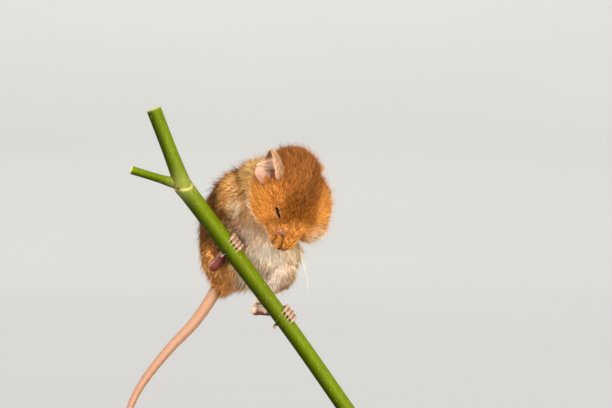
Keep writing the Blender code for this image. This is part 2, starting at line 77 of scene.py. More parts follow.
EYE_ANGLE = math.radians(50.0)
EYE_DEPTH = 3.7
EYE_RADIUS = 1.3
LID_DEPTH = 4.1
LID_RADII = (2.3, 2.0, 1.45)
SLIT_SLANT = 0.42
SLIT_HALF_LENGTH, SLIT_HALF_WIDTH, SLIT_SHIFT = 1.3, 0.27, 0.35
# For the right (1) and the left (-1) eye: how open and how deep its slit is, and how far its lids rise
SLIT_OPEN, SLIT_DEPTH, LID_RISE = {1: 1.0, -1: 0.4}, {1: 0.85, -1: 0.3}, {1: 1.0, -1: 0.0}

X, Y, Z = np.eye(3)


def unit(vector):
    vector = np.asarray(vector, float)
    return vector / np.maximum(np.linalg.norm(vector, axis=-1, keepdims=True), 1e-9)


def head_axes():
    """The head's forward, up and right directions."""
    forward = unit(HEAD_FORWARD)
    up = unit(-Y + Y.dot(forward) * forward)
    right = np.cross(forward, up)
    turned_up = up * math.cos(HEAD_ROLL) - right * math.sin(HEAD_ROLL)
    turned_right = right * math.cos(HEAD_ROLL) + up * math.sin(HEAD_ROLL)
    return np.array((forward, turned_up, turned_right))


HEAD_AXES = head_axes()
STEM_ALONG = np.array((math.sin(STEM_SLOPE), 0.0, -math.cos(STEM_SLOPE)))
STEM_ACROSS = np.array((math.cos(STEM_SLOPE), 0.0, math.sin(STEM_SLOPE)))


def head_direction(direction):
    return np.asarray(direction, float) @ HEAD_AXES


def head_point(place):
    return HEAD_CENTRE + head_direction(place)


def head_places(places):
    """How far forward (f), up (u) and to the right (r) of the head's centre each point lies."""
    return ((places - HEAD_CENTRE) @ HEAD_AXES.T).T


def stem_point(along, across, depth):
    return STEM_ORIGIN + STEM_ALONG * along + STEM_ACROSS * across + Y * depth


def round_stem(along, angle, radius):
    return stem_point(along, radius * math.cos(angle), radius * math.sin(angle))


def stem_places(places):
    """How far along the stem, how far across it and how far from its middle each point lies."""
    along, across = ((places - STEM_ORIGIN) @ axis for axis in (STEM_ALONG, STEM_ACROSS))
    return along, across, np.hypot(across, places[:, 1])


def far_from(places, point):
    return np.linalg.norm(places - point, axis=1)


def smooth(low, high, value):
    """0 below low, 1 above high and a smooth step between them."""
    t = np.clip((np.asarray(value, float) - low) / (high - low), 0.0, 1.0)
    return t * t * (3.0 - 2.0 * t)


def bell(value, width):
    return np.exp(-((np.asarray(value, float) / width) ** 2))


def colour(red, green, blue):
    """A linear colour from one in sRGB steps of 255."""
    c = np.array((red, green, blue)) / 255.0
    return np.where(c <= 0.04045, c / 12.92, ((c + 0.055) / 1.055) ** 2.4)


def wobble(points, scale, seed):
    """Smooth noise from -1 to 1 made of a few sine waves, about one wave to each scale."""
    draws = np.random.default_rng(seed)
    total = np.zeros(len(points))
    for _ in range(7):
        wave = unit(draws.normal(size=3)) * draws.uniform(0.6, 1.6) * 2.0 * math.pi / scale
        total += np.sin(points @ wave + draws.uniform(0.0, 2.0 * math.pi))
    return total / 3.5


# Mesh tools


def add_object(name, verts, faces):
    """An object from places in millimetres and faces."""
    mesh = bpy.data.meshes.new(name)
    mesh.from_pydata((np.asarray(verts) * MM).tolist(), [], [list(map(int, face)) for face in faces])
    mesh.validate()
    mesh.shade_smooth()
    return add_data(name, mesh)


def add_data(name, data):
    """An object in the scene for the data of a mesh, a lamp or a camera."""
    obj = bpy.data.objects.new(name, data)
    bpy.context.scene.collection.objects.link(obj)
    return obj


def arrays(obj):
    """Places in millimetres, normals and triangles of an object's mesh."""
    mesh = obj.data
    count = len(mesh.vertices)
    places, normals = np.zeros(count * 3), np.zeros(count * 3)
    mesh.vertices.foreach_get("co", places)
    mesh.vertices.foreach_get("normal", normals)
    mesh.calc_loop_triangles()
    triangles = np.zeros(len(mesh.loop_triangles) * 3, np.int32)
    mesh.loop_triangles.foreach_get("vertices", triangles)
    return places.reshape(-1, 3) / MM, normals.reshape(-1, 3), triangles.reshape(-1, 3)


def move_points(obj, places):
    obj.data.vertices.foreach_set("co", (places * MM).astype(np.float32).ravel())
    obj.data.update()


def apply_modifiers(obj):
    bpy.context.view_layer.update()
    graph = bpy.context.evaluated_depsgraph_get()
    mesh = bpy.data.meshes.new_from_object(obj.evaluated_get(graph))
    obj.modifiers.clear()
    old, obj.data = obj.data, mesh
    bpy.data.meshes.remove(old)
    return obj


def remesh(obj, voxel):
    modifier = obj.modifiers.new("skin", "REMESH")
    modifier.mode = "VOXEL"
    modifier.voxel_size = voxel * MM
    return apply_modifiers(obj)


def thin_mesh(obj, ratio):
    modifier = obj.modifiers.new("thin", "DECIMATE")
    modifier.ratio = ratio
    return apply_modifiers(obj)


def smooth_mesh(obj, rounds):
    modifier = obj.modifiers.new("smooth", "SMOOTH")
    modifier.iterations = rounds
    return apply_modifiers(obj)


def keep_largest(obj):
    """Leaves only the closed surface with the most vertices."""
    mesh = obj.data
    edges = np.zeros(len(mesh.edges) * 2, np.int32)
    mesh.edges.foreach_get("vertices", edges)
    edges = edges.reshape(-1, 2)
    label = np.arange(len(mesh.vertices))
    while True:
        lowest = np.minimum(label[edges[:, 0]], label[edges[:, 1]])
        new = label.copy()
        np.minimum.at(new, edges[:, 0], lowest)
        np.minimum.at(new, edges[:, 1], lowest)
        new = new[new]
        if (new == label).all():
            break
        label = new
    names, counts = np.unique(label, return_counts=True)
    keep = label == names[counts.argmax()]
    bm = bmesh.new()
    bm.from_mesh(mesh)
    bm.verts.ensure_lookup_table()
    bmesh.ops.delete(bm, geom=[vert for vert in bm.verts if not keep[vert.index]], context="VERTS")
    bm.to_mesh(mesh)
    bm.free()
    return obj


def ball_arrays(centre, radii, axes=np.eye(3), detail=4):
    bm = bmesh.new()
    bmesh.ops.create_icosphere(bm, subdivisions=detail, radius=1.0)
    verts = np.array([vert.co for vert in bm.verts]) * np.asarray(radii) @ np.asarray(axes)
    turn = 1 if np.linalg.det(np.asarray(axes)) > 0 else -1
    faces = [[vert.index for vert in face.verts][::turn] for face in bm.faces]
    bm.free()
    return verts + np.asarray(centre), faces


def curve_through(points, steps):
    """A Catmull-Rom curve through rows of numbers."""
    points = np.asarray(points, float)
    ends = np.vstack([points[:1] * 2 - points[1:2], points, points[-1:] * 2 - points[-2:-1]])
    rows = []
    for i in range(len(points) - 1):
        a, b, c, d = ends[i : i + 4]
        for k in range(steps):
            t = k / steps
            even = b * 2 + (a * 2 - b * 5 + c * 4 - d) * t**2
            odd = (c - a) * t + (b * 3 - a - c * 3 + d) * t**3
            rows.append((even + odd) * 0.5)
    rows.append(points[-1])
    return np.array(rows)


def grid_faces(rows, width, closed=True):
    """Quads between rows of points; where closed, each row joins round to its start."""
    faces = []
    for i in range(rows):
        for k in range(width if closed else width - 1):
            a, b = i * width + k, i * width + (k + 1) % width
            faces.append((a, b, b + width, a + width))
    return faces


def tube(rows, sides):
    """A round tube closed at both ends, along rows of a place and a radius, as places and faces."""
    rows = np.asarray(rows, float)
    path, radii = rows[:, :3], rows[:, 3]
    tangents = unit(np.gradient(path, axis=0))
    side = unit(np.cross(tangents[0], Z + 0.01 * X))
    verts = []
    for i, (place, radius) in enumerate(zip(path, radii)):
        side = unit(side - tangents[i] * side.dot(tangents[i]))
        other = np.cross(tangents[i], side)
        for k in range(sides):
            angle = 2.0 * math.pi * k / sides
            verts.append(place + (side * math.cos(angle) + other * math.sin(angle)) * radius)
    faces = grid_faces(len(path) - 1, sides)
    last = len(verts)
    verts += [path[0], path[-1]]
    top = (len(path) - 1) * sides
    for k in range(sides):
        faces.append((last, (k + 1) % sides, k))
        faces.append((last + 1, top + k, top + (k + 1) % sides))
    return np.array(verts), faces


def curved_tube(rows, steps, sides):
    return tube(curve_through(rows, steps), sides)


def joined(parts):
    """Several pairs of places and faces as one pair."""
    verts, faces, first = [], [], 0
    for part_verts, part_faces in parts:
        verts.append(np.asarray(part_verts))
        faces += [tuple(i + first for i in face) for face in part_faces]
        first += len(part_verts)
    return np.vstack(verts), faces


# The shade of the stored colours that suits the strong lamps
PAINT = 0.77


def set_tint(obj, colours):
    """Stores one colour for each point."""
    layer = obj.data.color_attributes.new(name="tint", type="FLOAT_COLOR", domain="POINT")
    rgba = np.ones((len(colours), 4), np.float32)
    rgba[:, :3] = np.clip(colours, 0.0, 1.0)
    layer.data.foreach_set("color", rgba.ravel())


# Skin


def eye_axes(side):
    """An eye's directions along its slit, across it and out of the head."""
    look = head_direction((0, math.cos(EYE_ANGLE), math.sin(EYE_ANGLE) * side))
    crown = head_direction((0, math.sin(EYE_ANGLE), -math.cos(EYE_ANGLE) * side))
    along = unit(HEAD_AXES[0] + crown * SLIT_SLANT)
    return np.array((along, np.cross(look, along), look))


def grown_node(name, by):
    """A CAD node's places and faces, moved outwards."""
    bm = bmesh.new()
    bm.from_mesh(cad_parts[name].data)
    bmesh.ops.remove_doubles(bm, verts=bm.verts, dist=1e-6)
    bm.normal_update()
    verts = np.array([vert.co / MM + vert.normal * by for vert in bm.verts])
    faces = [[vert.index for vert in face.verts] for face in bm.faces]
    bm.free()
    return verts, faces


BODY_NODES = ("neck", "torso", "foreleg_right", "foreleg_left", "hindleg_right", "hindleg_left")
GROW = 0.25
REGIONS = ("head",) + BODY_NODES
BODY_VOXEL, SKIN_VOXEL, SKIN_SHARE = 0.28, 0.18, 0.7
BLEND_WIDTH = 0.45
LID_REACH, LID_COAT = 2.0, {1: 0.22, -1: 0.5}
NECK_COAT, TORSO_COAT, ARM_COAT, LEG_COAT, BARE_COAT = 1.1, 1.25, 1.2, 0.75, 0.25


def head_parts():
    """The head's forms, out to the tips of the coat, with its lids."""
    parts = [ball_arrays(head_point(c), np.array(r) + GROW, HEAD_AXES) for c, r in HEAD_FORMS]
    for side in (1, -1):
        axes = eye_axes(side)
        centre = head_point((EYE_FORWARD, 0, 0)) + axes[2] * LID_DEPTH
        parts.append(ball_arrays(centre, np.array(LID_RADII) + GROW, axes))
    return parts


def region_weights(places):
    """How much each point belongs to each region, by its distance from the CAD nodes."""
    rows = []
    for name in REGIONS:
        verts, _, faces = arrays(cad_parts[name])
        tree = BVHTree.FromPolygons(verts.tolist(), faces.tolist())
        rows.append([tree.find_nearest(Vector(p))[3] for p in places.tolist()])
    distance = np.array(rows).T
    weight = np.exp(-(distance - distance.min(axis=1, keepdims=True)) / BLEND_WIDTH)
    return weight / weight.sum(axis=1, keepdims=True)


HIND_FEET = ((RIGHT_HEEL, RIGHT_PAD), (LEFT_HEEL, LEFT_PAD))
FOREPAWS = ((RIGHT_WRIST, RIGHT_PALM), (LEFT_WRIST, LEFT_PALM))


def sole_line(heel, pad):
    """The middle line of a hind foot's sole: its heel, its arch and its pad."""
    raised = RIGHT_HEEL_RAISE if heel == RIGHT_HEEL else 0.0
    heel_place, pad_place = stem_point(*heel, HEEL_DEPTH - raised), stem_point(*pad, PAD_DEPTH)
    return [heel_place, (heel_place + pad_place) / 2 + Y * (0.3 - 0.3 * raised), pad_place]


def foot_distance(places, foot):
    """How far each point lies from the toes and the sole of a hind foot."""
    heel, pad = HIND_FEET[foot]
    toes = [round_stem(pad[0] + step, 0.0, STEM_RADIUS + 0.8) for step in (-1.6, 1.8)]
    from_sole, from_toes = line_distance(places, sole_line(heel, pad)), line_distance(places, toes)
    return np.minimum(from_sole - 1.1, from_toes - 0.6)


def coat_depth(places, weights):
    """How deep the skin lies under the tips of the coat, in millimetres."""
    f = head_places(places)[0]
    head = 0.85 - 0.4 * smooth(2.0, 7.5, f) - 0.15 * smooth(8.5, 10.0, f)
    for side in (1, -1):
        near = places - head_point((EYE_FORWARD, 0, 0)) - eye_axes(side)[2] * (EYE_DEPTH + EYE_RADIUS)
        head -= (head - LID_COAT[side]) * bell(np.linalg.norm(near, axis=1), LID_REACH)
    coats = (NECK_COAT, TORSO_COAT, ARM_COAT, LEG_COAT)
    neck, torso, arm, leg = (np.full(len(places), coat) for coat in coats)
    for heel, wrist in ((RIGHT_HEEL, RIGHT_WRIST), (LEFT_HEEL, LEFT_WRIST)):
        from_heel = far_from(places, stem_point(*heel, HEEL_DEPTH))
        leg = np.minimum(leg, BARE_COAT + 0.6 * smooth(1.5, 7.0, from_heel))
        arm = np.minimum(arm, BARE_COAT + 0.95 * smooth(1.5, 7.0, far_from(places, wrist)))
    depth = np.column_stack([head, neck, torso, arm, arm, leg, leg])
    right, left = (np.maximum(1.0 - foot_distance(places, i) / 1.7, 0.0) for i in (0, 1))
    return (depth * weights).sum(axis=1) + 0.9 * np.minimum(right * 1.6, 1.0) + 0.25 * left


def build_body():
    """The trunk, limbs and head as one form that lies inside the coat."""
    parts = head_parts() + [grown_node(name, GROW) for name in BODY_NODES]
    body = smooth_mesh(keep_largest(remesh(add_object("body", *joined(parts)), BODY_VOXEL)), 5)
    places, normals, _ = arrays(body)
    depth = coat_depth(places, region_weights(places))
    move_points(body, places - normals * (GROW + depth)[:, None])
    return smooth_mesh(body, 2)


# Feet, nose and claws

TOE_ANGLES = (38.0, -58.0)
OUTER_TOE_ANGLES = (128.0, 200.0)
TOE_SPACING, TOE_REACH, OUTER_TOE_REACH = 0.86, 0.5, 0.4
TOE_PATH = STEM_RADIUS + 0.40
# Along a toe: the share of its length, how far it bows off the stem, and its radius
KNUCKLES = ((0.0, 0.0, 0.36), (0.3, 0.16, 0.42), (0.6, 0.02, 0.33), (0.88, 0.06, 0.40), (1.0, 0.0, 0.28))
# The small pads of a sole: the share of its length, and how far to the side
SOLE_PADS = ((0.3, 0.35), (0.62, -0.45), (0.95, 0.1), (0.8, 0.62))
# Along a finger: how far out to the side, forwards and away from the camera, and its radius
FINGER = (
    (0.7, 0.0, 0.0, 0.36), (1.2, 1.15, 0.0, 0.39), (1.28, 1.75, 0.35, 0.32), (1.25, 1.95, 0.8, 0.36),
    (1.22, 1.95, 1.1, 0.22),
)
FINGER_SPACING = 0.52
NOSE_PLACE = (9.9, -0.6, 0.0)
NOSE_RADII = (0.55, 0.5, 0.62)
MOUTH_LINE = ((10.5, -1.3, 0.0), (9.5, -2.15, 1.0), (8.2, -2.45, 1.9), (6.6, -2.35, 2.55))


def tapered(radius, share):
    """A claw's radius at a share of its length."""
    return radius * (1.0 - share) ** 0.7 + 0.02


def gripping_toe(along, angles, reach, root):
    """A toe with its knuckles, bent round the stem, and the claw that goes on from it."""
    start, end = (math.radians(angle) for angle in angles)
    toe = [(*root, 0.45)]
    for t, bow, radius in KNUCKLES:
        toe.append((*round_stem(along + reach * t, start + (end - start) * t, TOE_PATH + bow), radius))
    turn = math.copysign(0.4, end - start)
    claw = []
    for t in np.linspace(0.0, 1.0, 7):
        out = TOE_PATH + 0.12 * t - 0.44 * t * t
        place = round_stem(along + reach * (0.93 + 0.3 * t), end + turn * (t - 0.12), out)
        claw.append((*place, tapered(0.09, t)))
    return curved_tube(toe, 3, 10), tube(claw, 8)


def hind_foot(heel, pad, knee):
    """The parts and claws of a hind foot that holds the stem from behind."""
    heel_place, middle, pad_place = sole_line(heel, pad)
    start = heel_place if heel == RIGHT_HEEL else heel_place * 0.55 + pad_place * 0.45
    shin = (start + knee) / 2 + Y * 1.3
    parts = [
        curved_tube([(*(start + Y * 0.4), 0.8), (*shin, 0.8), (*knee, 1.0)], 4, 12),
        curved_tube([(*heel_place, 0.95), (*middle, 1.0), (*pad_place, 1.0)], 5, 14),
        ball_arrays(pad_place, (1.25, 1.0, 1.25), detail=3),
        ball_arrays(heel_place, (1.1, 1.1, 1.1), detail=3),
    ]
    for share, sideways in SOLE_PADS:
        spot = heel_place + (pad_place - heel_place) * share + STEM_ALONG * sideways - Y * 0.72
        parts.append(ball_arrays(spot, (0.42, 0.34, 0.42), detail=2))
    toes = []
    for step in (-1.5, -0.5, 0.5, 1.5):
        root = pad_place + STEM_ALONG * step * 0.55
        toes.append(gripping_toe(pad[0] + step * TOE_SPACING, TOE_ANGLES, TOE_REACH, root))
    toes.append(gripping_toe(pad[0] + 0.35, OUTER_TOE_ANGLES, OUTER_TOE_REACH, middle))
    return parts + [toe for toe, _ in toes], [claw for _, claw in toes]


def fore_foot(wrist, palm):
    """The parts and claws of a folded forepaw."""
    reach = unit(palm - wrist)
    across = unit(np.cross(reach, Y))
    parts = [
        curved_tube([(*(wrist - reach * 1.5), 1.0), (*wrist, 0.85), (*palm, 0.95)], 4, 12),
        ball_arrays(palm, (1.1, 0.75, 1.0), detail=3),
    ]
    claws = []
    for step in (-1.5, -0.5, 0.5, 1.5):
        sideways = across * step * FINGER_SPACING
        finger = curve_through([
            (*(palm + sideways * aside + reach * forwards + Y * away), radius)
            for aside, forwards, away, radius in FINGER
        ], 3)
        parts.append(tube(finger, 8))
        tip = finger[-1, :3]
        claws.append(tube([
            (*(tip + Y * 0.6 * t - Y * 0.1 - reach * 0.25 * t * t), tapered(0.15, t))
            for t in np.linspace(0, 1, 5)
        ], 6))
    return parts, claws


def refine(obj, near):
    """Splits the faces whose corners all lie near."""
    places, _, _ = arrays(obj)
    close = near(places)
    bm = bmesh.new()
    bm.from_mesh(obj.data)
    bm.verts.ensure_lookup_table()
    edges = [edge for edge in bm.edges if close[edge.verts[0].index] and close[edge.verts[1].index]]
    bmesh.ops.subdivide_edges(bm, edges=edges, cuts=1, use_grid_fill=True)
    bm.to_mesh(obj.data)
    bm.free()
    obj.data.shade_smooth()


def eye_local(places, side):
    """Places along, across and out from the middle of an eye's slit."""
    axes = eye_axes(side)
    centre = head_point((EYE_FORWARD, 0, 0)) + axes[2] * (EYE_DEPTH + EYE_RADIUS) - axes[0] * SLIT_SHIFT
    return (places - centre) @ axes.T


def slit_distance(places, side):
    """How far each point is outside the rim of an eye's slit; below 0 inside it."""
    along, across, out = eye_local(places, side).T
    share = np.clip(1.0 - (along / SLIT_HALF_LENGTH) ** 2, 0.0, 1.0)
    rim = SLIT_HALF_WIDTH * share**0.75 * SLIT_OPEN[side]
    beyond = np.maximum(np.abs(along) - SLIT_HALF_LENGTH, 0.0)
    distance = np.hypot(beyond, np.maximum(np.abs(across) - rim, 0.0))
    distance = np.where((beyond <= 0) & (np.abs(across) < rim), np.abs(across) - rim, distance)
    return np.where(out < -2.5, 9.0, distance)


def eye_gap(places):
    return np.minimum(slit_distance(places, 1), slit_distance(places, -1))


def line_distance(places, line):
    """Distance of each point from a line through the given places."""
    best = np.full(len(places), 1e9)
    for a, b in zip(line[:-1], line[1:]):
        t = np.clip((places - a) @ (b - a) / ((b - a) @ (b - a)), 0.0, 1.0)
        best = np.minimum(best, np.linalg.norm(places - a - t[:, None] * (b - a), axis=1))
    return best


MOUTH_SIDES = [np.array([head_point((f, u, r * side)) for f, u, r in MOUTH_LINE]) for side in (1, -1)]


def mouth_distance(places):
    return np.minimum(*[line_distance(places, line) for line in MOUTH_SIDES])


def nostril_share(places):
    """1 in the middle of a nostril, 0 at its rim and outside it."""
    f, u, r = head_places(places)
    reach = np.sqrt(((f - 10.35) / 0.3) ** 2 + ((u + 0.55) / 0.2) ** 2 + ((np.abs(r) - 0.36) / 0.2) ** 2)
    return 1.0 - smooth(0.45, 1.0, reach)


def shape_face(skin):
    """Opens the eyes' slits between their lids, and draws the nostrils, the cleft and the mouth."""
    nose = head_point(NOSE_PLACE)
    for reach in (2.1, 1.25):
        refine(skin, lambda places: np.minimum(
            eye_gap(places) / reach * 1.6,
            np.minimum(far_from(places, nose) / reach, mouth_distance(places) / 0.6),
        ) < 1.0)
    places, normals, _ = arrays(skin)
    move = np.zeros(len(places))
    for side in (1, -1):
        along, across, _ = eye_local(places, side).T
        gap = slit_distance(places, side)
        lid = 0.13 * bell(gap - 0.17, 0.13) - 0.09 * bell(gap - 0.55, 0.16) - 0.05 * bell(gap - 0.95, 0.14)
        corner = np.hypot(along - SLIT_HALF_LENGTH - 0.1, across)
        opened = SLIT_DEPTH[side] * (1.0 - smooth(-0.1, 0.06, gap))
        places = places - eye_axes(side)[2] * opened[:, None]
        move += lid * LID_RISE[side] - 0.2 * bell(corner, 0.22)
    f, u, r = head_places(places)
    mouth = mouth_distance(places)
    move -= (0.24 * bell(mouth, 0.13) - 0.09 * bell(mouth - 0.32, 0.15)) * smooth(7.0, 9.0, f)
    move -= 0.3 * nostril_share(places)
    move -= 0.14 * bell(r, 0.1) * smooth(9.6, 10.3, f) * (1.0 - smooth(-0.2, 0.1, u))
    move_points(skin, places + normals * move[:, None])


def build_skin():
    """One skin over the whole animal but its ears, eyes, claws and tail, and the claws' places."""
    body = build_body()
    places, _, _ = arrays(body)
    faces = [tuple(face.vertices) for face in body.data.polygons]
    bpy.data.objects.remove(body, do_unlink=True)
    parts = [(places, faces), ball_arrays(head_point(NOSE_PLACE), NOSE_RADII, HEAD_AXES, 3)]
    feet = [hind_foot(heel, pad, knee) for (heel, pad), knee in zip(HIND_FEET, (RIGHT_KNEE, LEFT_KNEE))]
    feet += [fore_foot(wrist, palm) for wrist, palm in FOREPAWS]
    parts += [part for foot, _ in feet for part in foot]
    claws = [claw for _, nails in feet for claw in nails]
    skin = smooth_mesh(keep_largest(remesh(add_object("skin", *joined(parts)), SKIN_VOXEL)), 3)
    thin_mesh(skin, SKIN_SHARE)
    skin.data.shade_smooth()
    shape_face(skin)
    return skin, add_object("claws", *joined(claws))


# Each ear's root, and the directions of its tip and of its opening
RIGHT_EAR = ((-4.7, 2.0, 6.1), (-0.93, 0.10, 0.08), (0.36, -0.21, 0.91))
LEFT_EAR = ((-3.6, 1.5, -4.55), (-0.55, -0.75, -0.45), (0.50, -0.10, -0.80))


def ear_axes(tip, opening, mirror):
    """An ear's directions up its height, across it and out of its opening."""
    tip = unit(head_direction(tip))
    opening = head_direction(opening)
    opening = unit(opening - tip * opening.dot(tip))
    return np.array((tip, np.cross(tip, opening) * mirror, opening))


# Markings and the lie of the coat

ORANGE = colour(154, 88, 20)
CROWN = colour(178, 108, 46)
CHEEK = colour(238, 156, 70)
DARK_ORANGE = colour(84, 44, 14)
CREAM = colour(255, 218, 184)
WHITE = colour(255, 232, 214)
TAN = colour(222, 156, 84)
GOLD = colour(240, 188, 116)
FLANK = colour(124, 74, 28)
RUMP = colour(255, 176, 96)
PINK = colour(168, 126, 98)
PALE_PINK = colour(196, 168, 140)
HEEL_PINK = colour(246, 208, 182)
# Painted shade in the creases between the toes
TOE_CREASE_SHADE = colour(84, 48, 36)
RIM_PINK = colour(150, 106, 96)
# The sole's own red, darkened further as painted shade on the foot's underside
SOLE_RED_AND_SHADE = colour(92, 22, 14)
LID_PINK = colour(150, 84, 44)
TICK = colour(62, 36, 18)
LID_DARK = colour(40, 20, 14)
# The nostrils' and the mouth line's own dark, deepened as painted shade in these dents
NOSTRIL_DARK_AND_SHADE = colour(84, 34, 26)
BARE_MUZZLE = colour(206, 150, 132)
NOSE = colour(172, 108, 80)
# The skin deep inside the ear's cup: its own colour, darkened as painted shade
CUP_FLOOR_SKIN_AND_SHADE = colour(120, 56, 40)
VENTRAL = unit((0.75, -0.65, -0.1))


def mix(a, b, share):
    share = np.asarray(share, float)[..., None]
    return a * (1.0 - share) + b * share


def layered(tint, *layers):
    """A colour under layers, each of a colour and its share."""
    for shade, share in layers:
        tint = mix(tint, shade, share)
    return tint


def foot_share(places):
    """1 on the bare feet, 0 on the furred legs."""
    along, _, gap = stem_places(places)
    share = np.zeros(len(places))
    for heel, pad in HIND_FEET:
        share = np.maximum(share, 1.0 - smooth(1.3, 2.2, line_distance(places, sole_line(heel, pad))))
        share = np.maximum(share, (gap < STEM_RADIUS + 1.15) * (np.abs(along - pad[0]) < 3.2))
    for wrist, palm in FOREPAWS:
        line = [palm, palm + unit(palm - wrist) * 3.0]
        share = np.maximum(share, 1.0 - smooth(1.3, 2.0, line_distance(places, line)))
    return share


def cheek_fringe(f, r):
    """1 on the long pale fur at the lower edge of the left cheek."""
    return smooth(-2.6, -4.6, r) * smooth(3.6, 6.4, f)


def toe_crease_shade(places):
    """1 half way between two toes of a hind foot, where the creases get painted shade."""
    along, across, _ = stem_places(places)
    turn = np.degrees(np.arctan2(places[:, 1], across))
    share = np.clip((TOE_ANGLES[0] - turn) / (TOE_ANGLES[0] - TOE_ANGLES[1]), 0.0, 1.0)
    crease = np.zeros(len(places))
    for pad in (RIGHT_PAD, LEFT_PAD):
        step = (along - pad[0] - TOE_REACH * share) / TOE_SPACING
        crease = np.maximum(crease, sum(bell(step - between, 0.2) for between in (-1, 0, 1)))
    return crease


# Dark streaks on the muzzle: start and end as (forward, right) on the head, and strength
WHISKER_ROWS = (
    ((7.6, 2.9), (9.0, 2.7), 0.75), ((7.5, 2.1), (9.5, 1.95), 0.9), ((7.1, 1.35), (10.1, 0.8), 1.0),
    ((7.9, -1.7), (9.3, -0.3), 0.8), ((7.7, 0.4), (8.6, 0.2), 0.45), ((8.3, -2.6), (9.3, -1.6), 0.6),
)


def head_markings(places, normals):
    """The head's colours: orange with a dark band, pale cheeks, dark whisker rows and a cream chin."""
    f, _, r = head_places(places)
    forward, up, _ = (normals @ HEAD_AXES.T).T
    side = smooth(2.2, 5.2, np.abs(r))
    band = bell(r - np.maximum(0.55 * f - 0.2, -2.9), 1.6)
    band = band * smooth(-8.0, -4.5, f) * (1.0 - smooth(-0.5, 3.0, f))
    rows = np.zeros(len(places))
    for (f_start, r_start), (f_end, r_end), strength in WHISKER_ROWS:
        share = np.clip((f - f_start) / (f_end - f_start), -0.3, 1.3)
        inside = smooth(-0.2, 0.1, share) * (1.0 - smooth(0.9, 1.2, share))
        rows = np.maximum(rows, strength * inside * bell(r - r_start - (r_end - r_start) * share, 0.15))
    below = 0.4 * forward * smooth(2.8, 4.8, np.abs(r)) - up + 0.14 * wobble(places, 2.2, 5)
    return layered(
        ORANGE,
        (CROWN, smooth(1.0, -4.0, f) * (1.0 - 0.5 * side)),
        (CHEEK, smooth(2.0, 5.0, r) * smooth(-5.0, -1.0, f) * 0.45),
        (CHEEK, side * smooth(-4.0, 0.0, f) * np.where(r > 0, 0.55, 1.0)),
        (DARK_ORANGE, 0.52 * band * smooth(0.0, 0.5, up)),
        (CHEEK, smooth(3.6, 5.8, f) * 0.85),
        (TICK * 0.6, rows * smooth(-0.5, 0.0, up)),
        (CREAM, 0.5 * cheek_fringe(f, r)),
        (CREAM, 0.75 * smooth(5.4, 7.2, f) * smooth(-3.6, -5.0, r)),
        (BARE_MUZZLE, 0.6 * bell(f - 6.4, 0.7) * bell(r - 2.0, 0.9) * smooth(0.0, 0.5, up)),
        (CREAM, smooth(0.12, 0.55, below) * smooth(-1.5, 2.5, f)),
    )


def body_markings(places, normals, weights):
    """The trunk's and limbs' colours: brown and golden above, cream and white below."""
    x, y, z = places.T

    def facing(low, high, direction):
        return smooth(low, high, normals @ unit(direction))

    belly = normals @ VENTRAL + 0.12 * wobble(places, 4.0, 3)
    front = 1.0 - smooth(6.5, 12.5, y + 0.7 * wobble(places, 3.0, 14))
    share = smooth(0.02, 0.3, belly) * (1.0 - smooth(-2.0, -5.5, x + 0.27 * (z - 50.0)))
    share = share * front * smooth(70.0, 65.5, z)
    back = mix(FLANK, RUMP, smooth(59.0, 46.5, z))
    back = back * (1.0 - 0.4 * facing(0.2, 0.9, (-0.9, 0.3, 0.2)) * smooth(51.0, 57.0, z))[:, None]
    white = layered(
        WHITE, (CREAM, 0.5 + 0.5 * wobble(places, 5.0, 8)), (GOLD, 0.85 * smooth(4.6, 8.4, x)),
        (GOLD, 0.35 * smooth(57.0, 63.0, z)),
    )
    neck = layered(GOLD, (FLANK, smooth(3.0, 8.0, y)), (CREAM, share * 0.8))
    inner = normals @ unit((0.8, -0.2, -0.6)) + 0.2 * wobble(places, 3.0, 4)
    outer = 0.8 * facing(0.25, 0.85, (-0.8, 0.3, 0.5))
    arm_right = layered(TAN, (CREAM, smooth(0.0, 0.8, inner)), (FLANK, outer))
    arm_left = mix(FLANK, CREAM, facing(0.0, 0.5, (-0.3, -0.9, -0.4)) * front)
    leg_right = mix(FLANK, RUMP, (0.85 + 0.15 * wobble(places, 3.0, 6)) * smooth(58.0, 52.0, z))
    inner = smooth(-0.3, 0.1, belly) * (1.0 - smooth(6.0, 12.0, y))
    leg_left = layered(back, (white * 0.9, inner), (CREAM, smooth(47.0, 43.5, z)))
    leg_left = leg_left * (0.76 + 0.24 * smooth(51.5, 46.5, z))[:, None]
    rows = np.stack([neck, mix(back, white, share), arm_right, arm_left, leg_right, leg_left], axis=1)
    return (rows * weights[:, 1:, None]).sum(axis=1)


def in_ear(places):
    """1 on the skin inside the cup of an ear, and where the left ear's rim shows."""
    share = np.zeros(len(places))
    for (root, tip, opening), mirror, front in ((RIGHT_EAR, 1, 1.0), (LEFT_EAR, -1, 3.6)):
        height, across, out = ((places - head_point(root)) @ ear_axes(tip, opening, mirror).T).T
        inside = smooth(-1.8, -1.0, height) * smooth(-2.2, -1.5, across)
        inside = inside * smooth(front + 0.5, front, across)
        share = np.maximum(share, inside * smooth(-2.4, -1.6, out) * smooth(2.4, 1.6, out))
    return share


# The way that the trunk's coat hangs, and a tuft's width, least length and growth with the coat's depth
COAT_DOWN = np.array((-0.16, 0.05, -1.0))
TUFT_WIDTH, TUFT_LENGTH, TUFT_GROWTH = 0.175, 0.15, 1.85


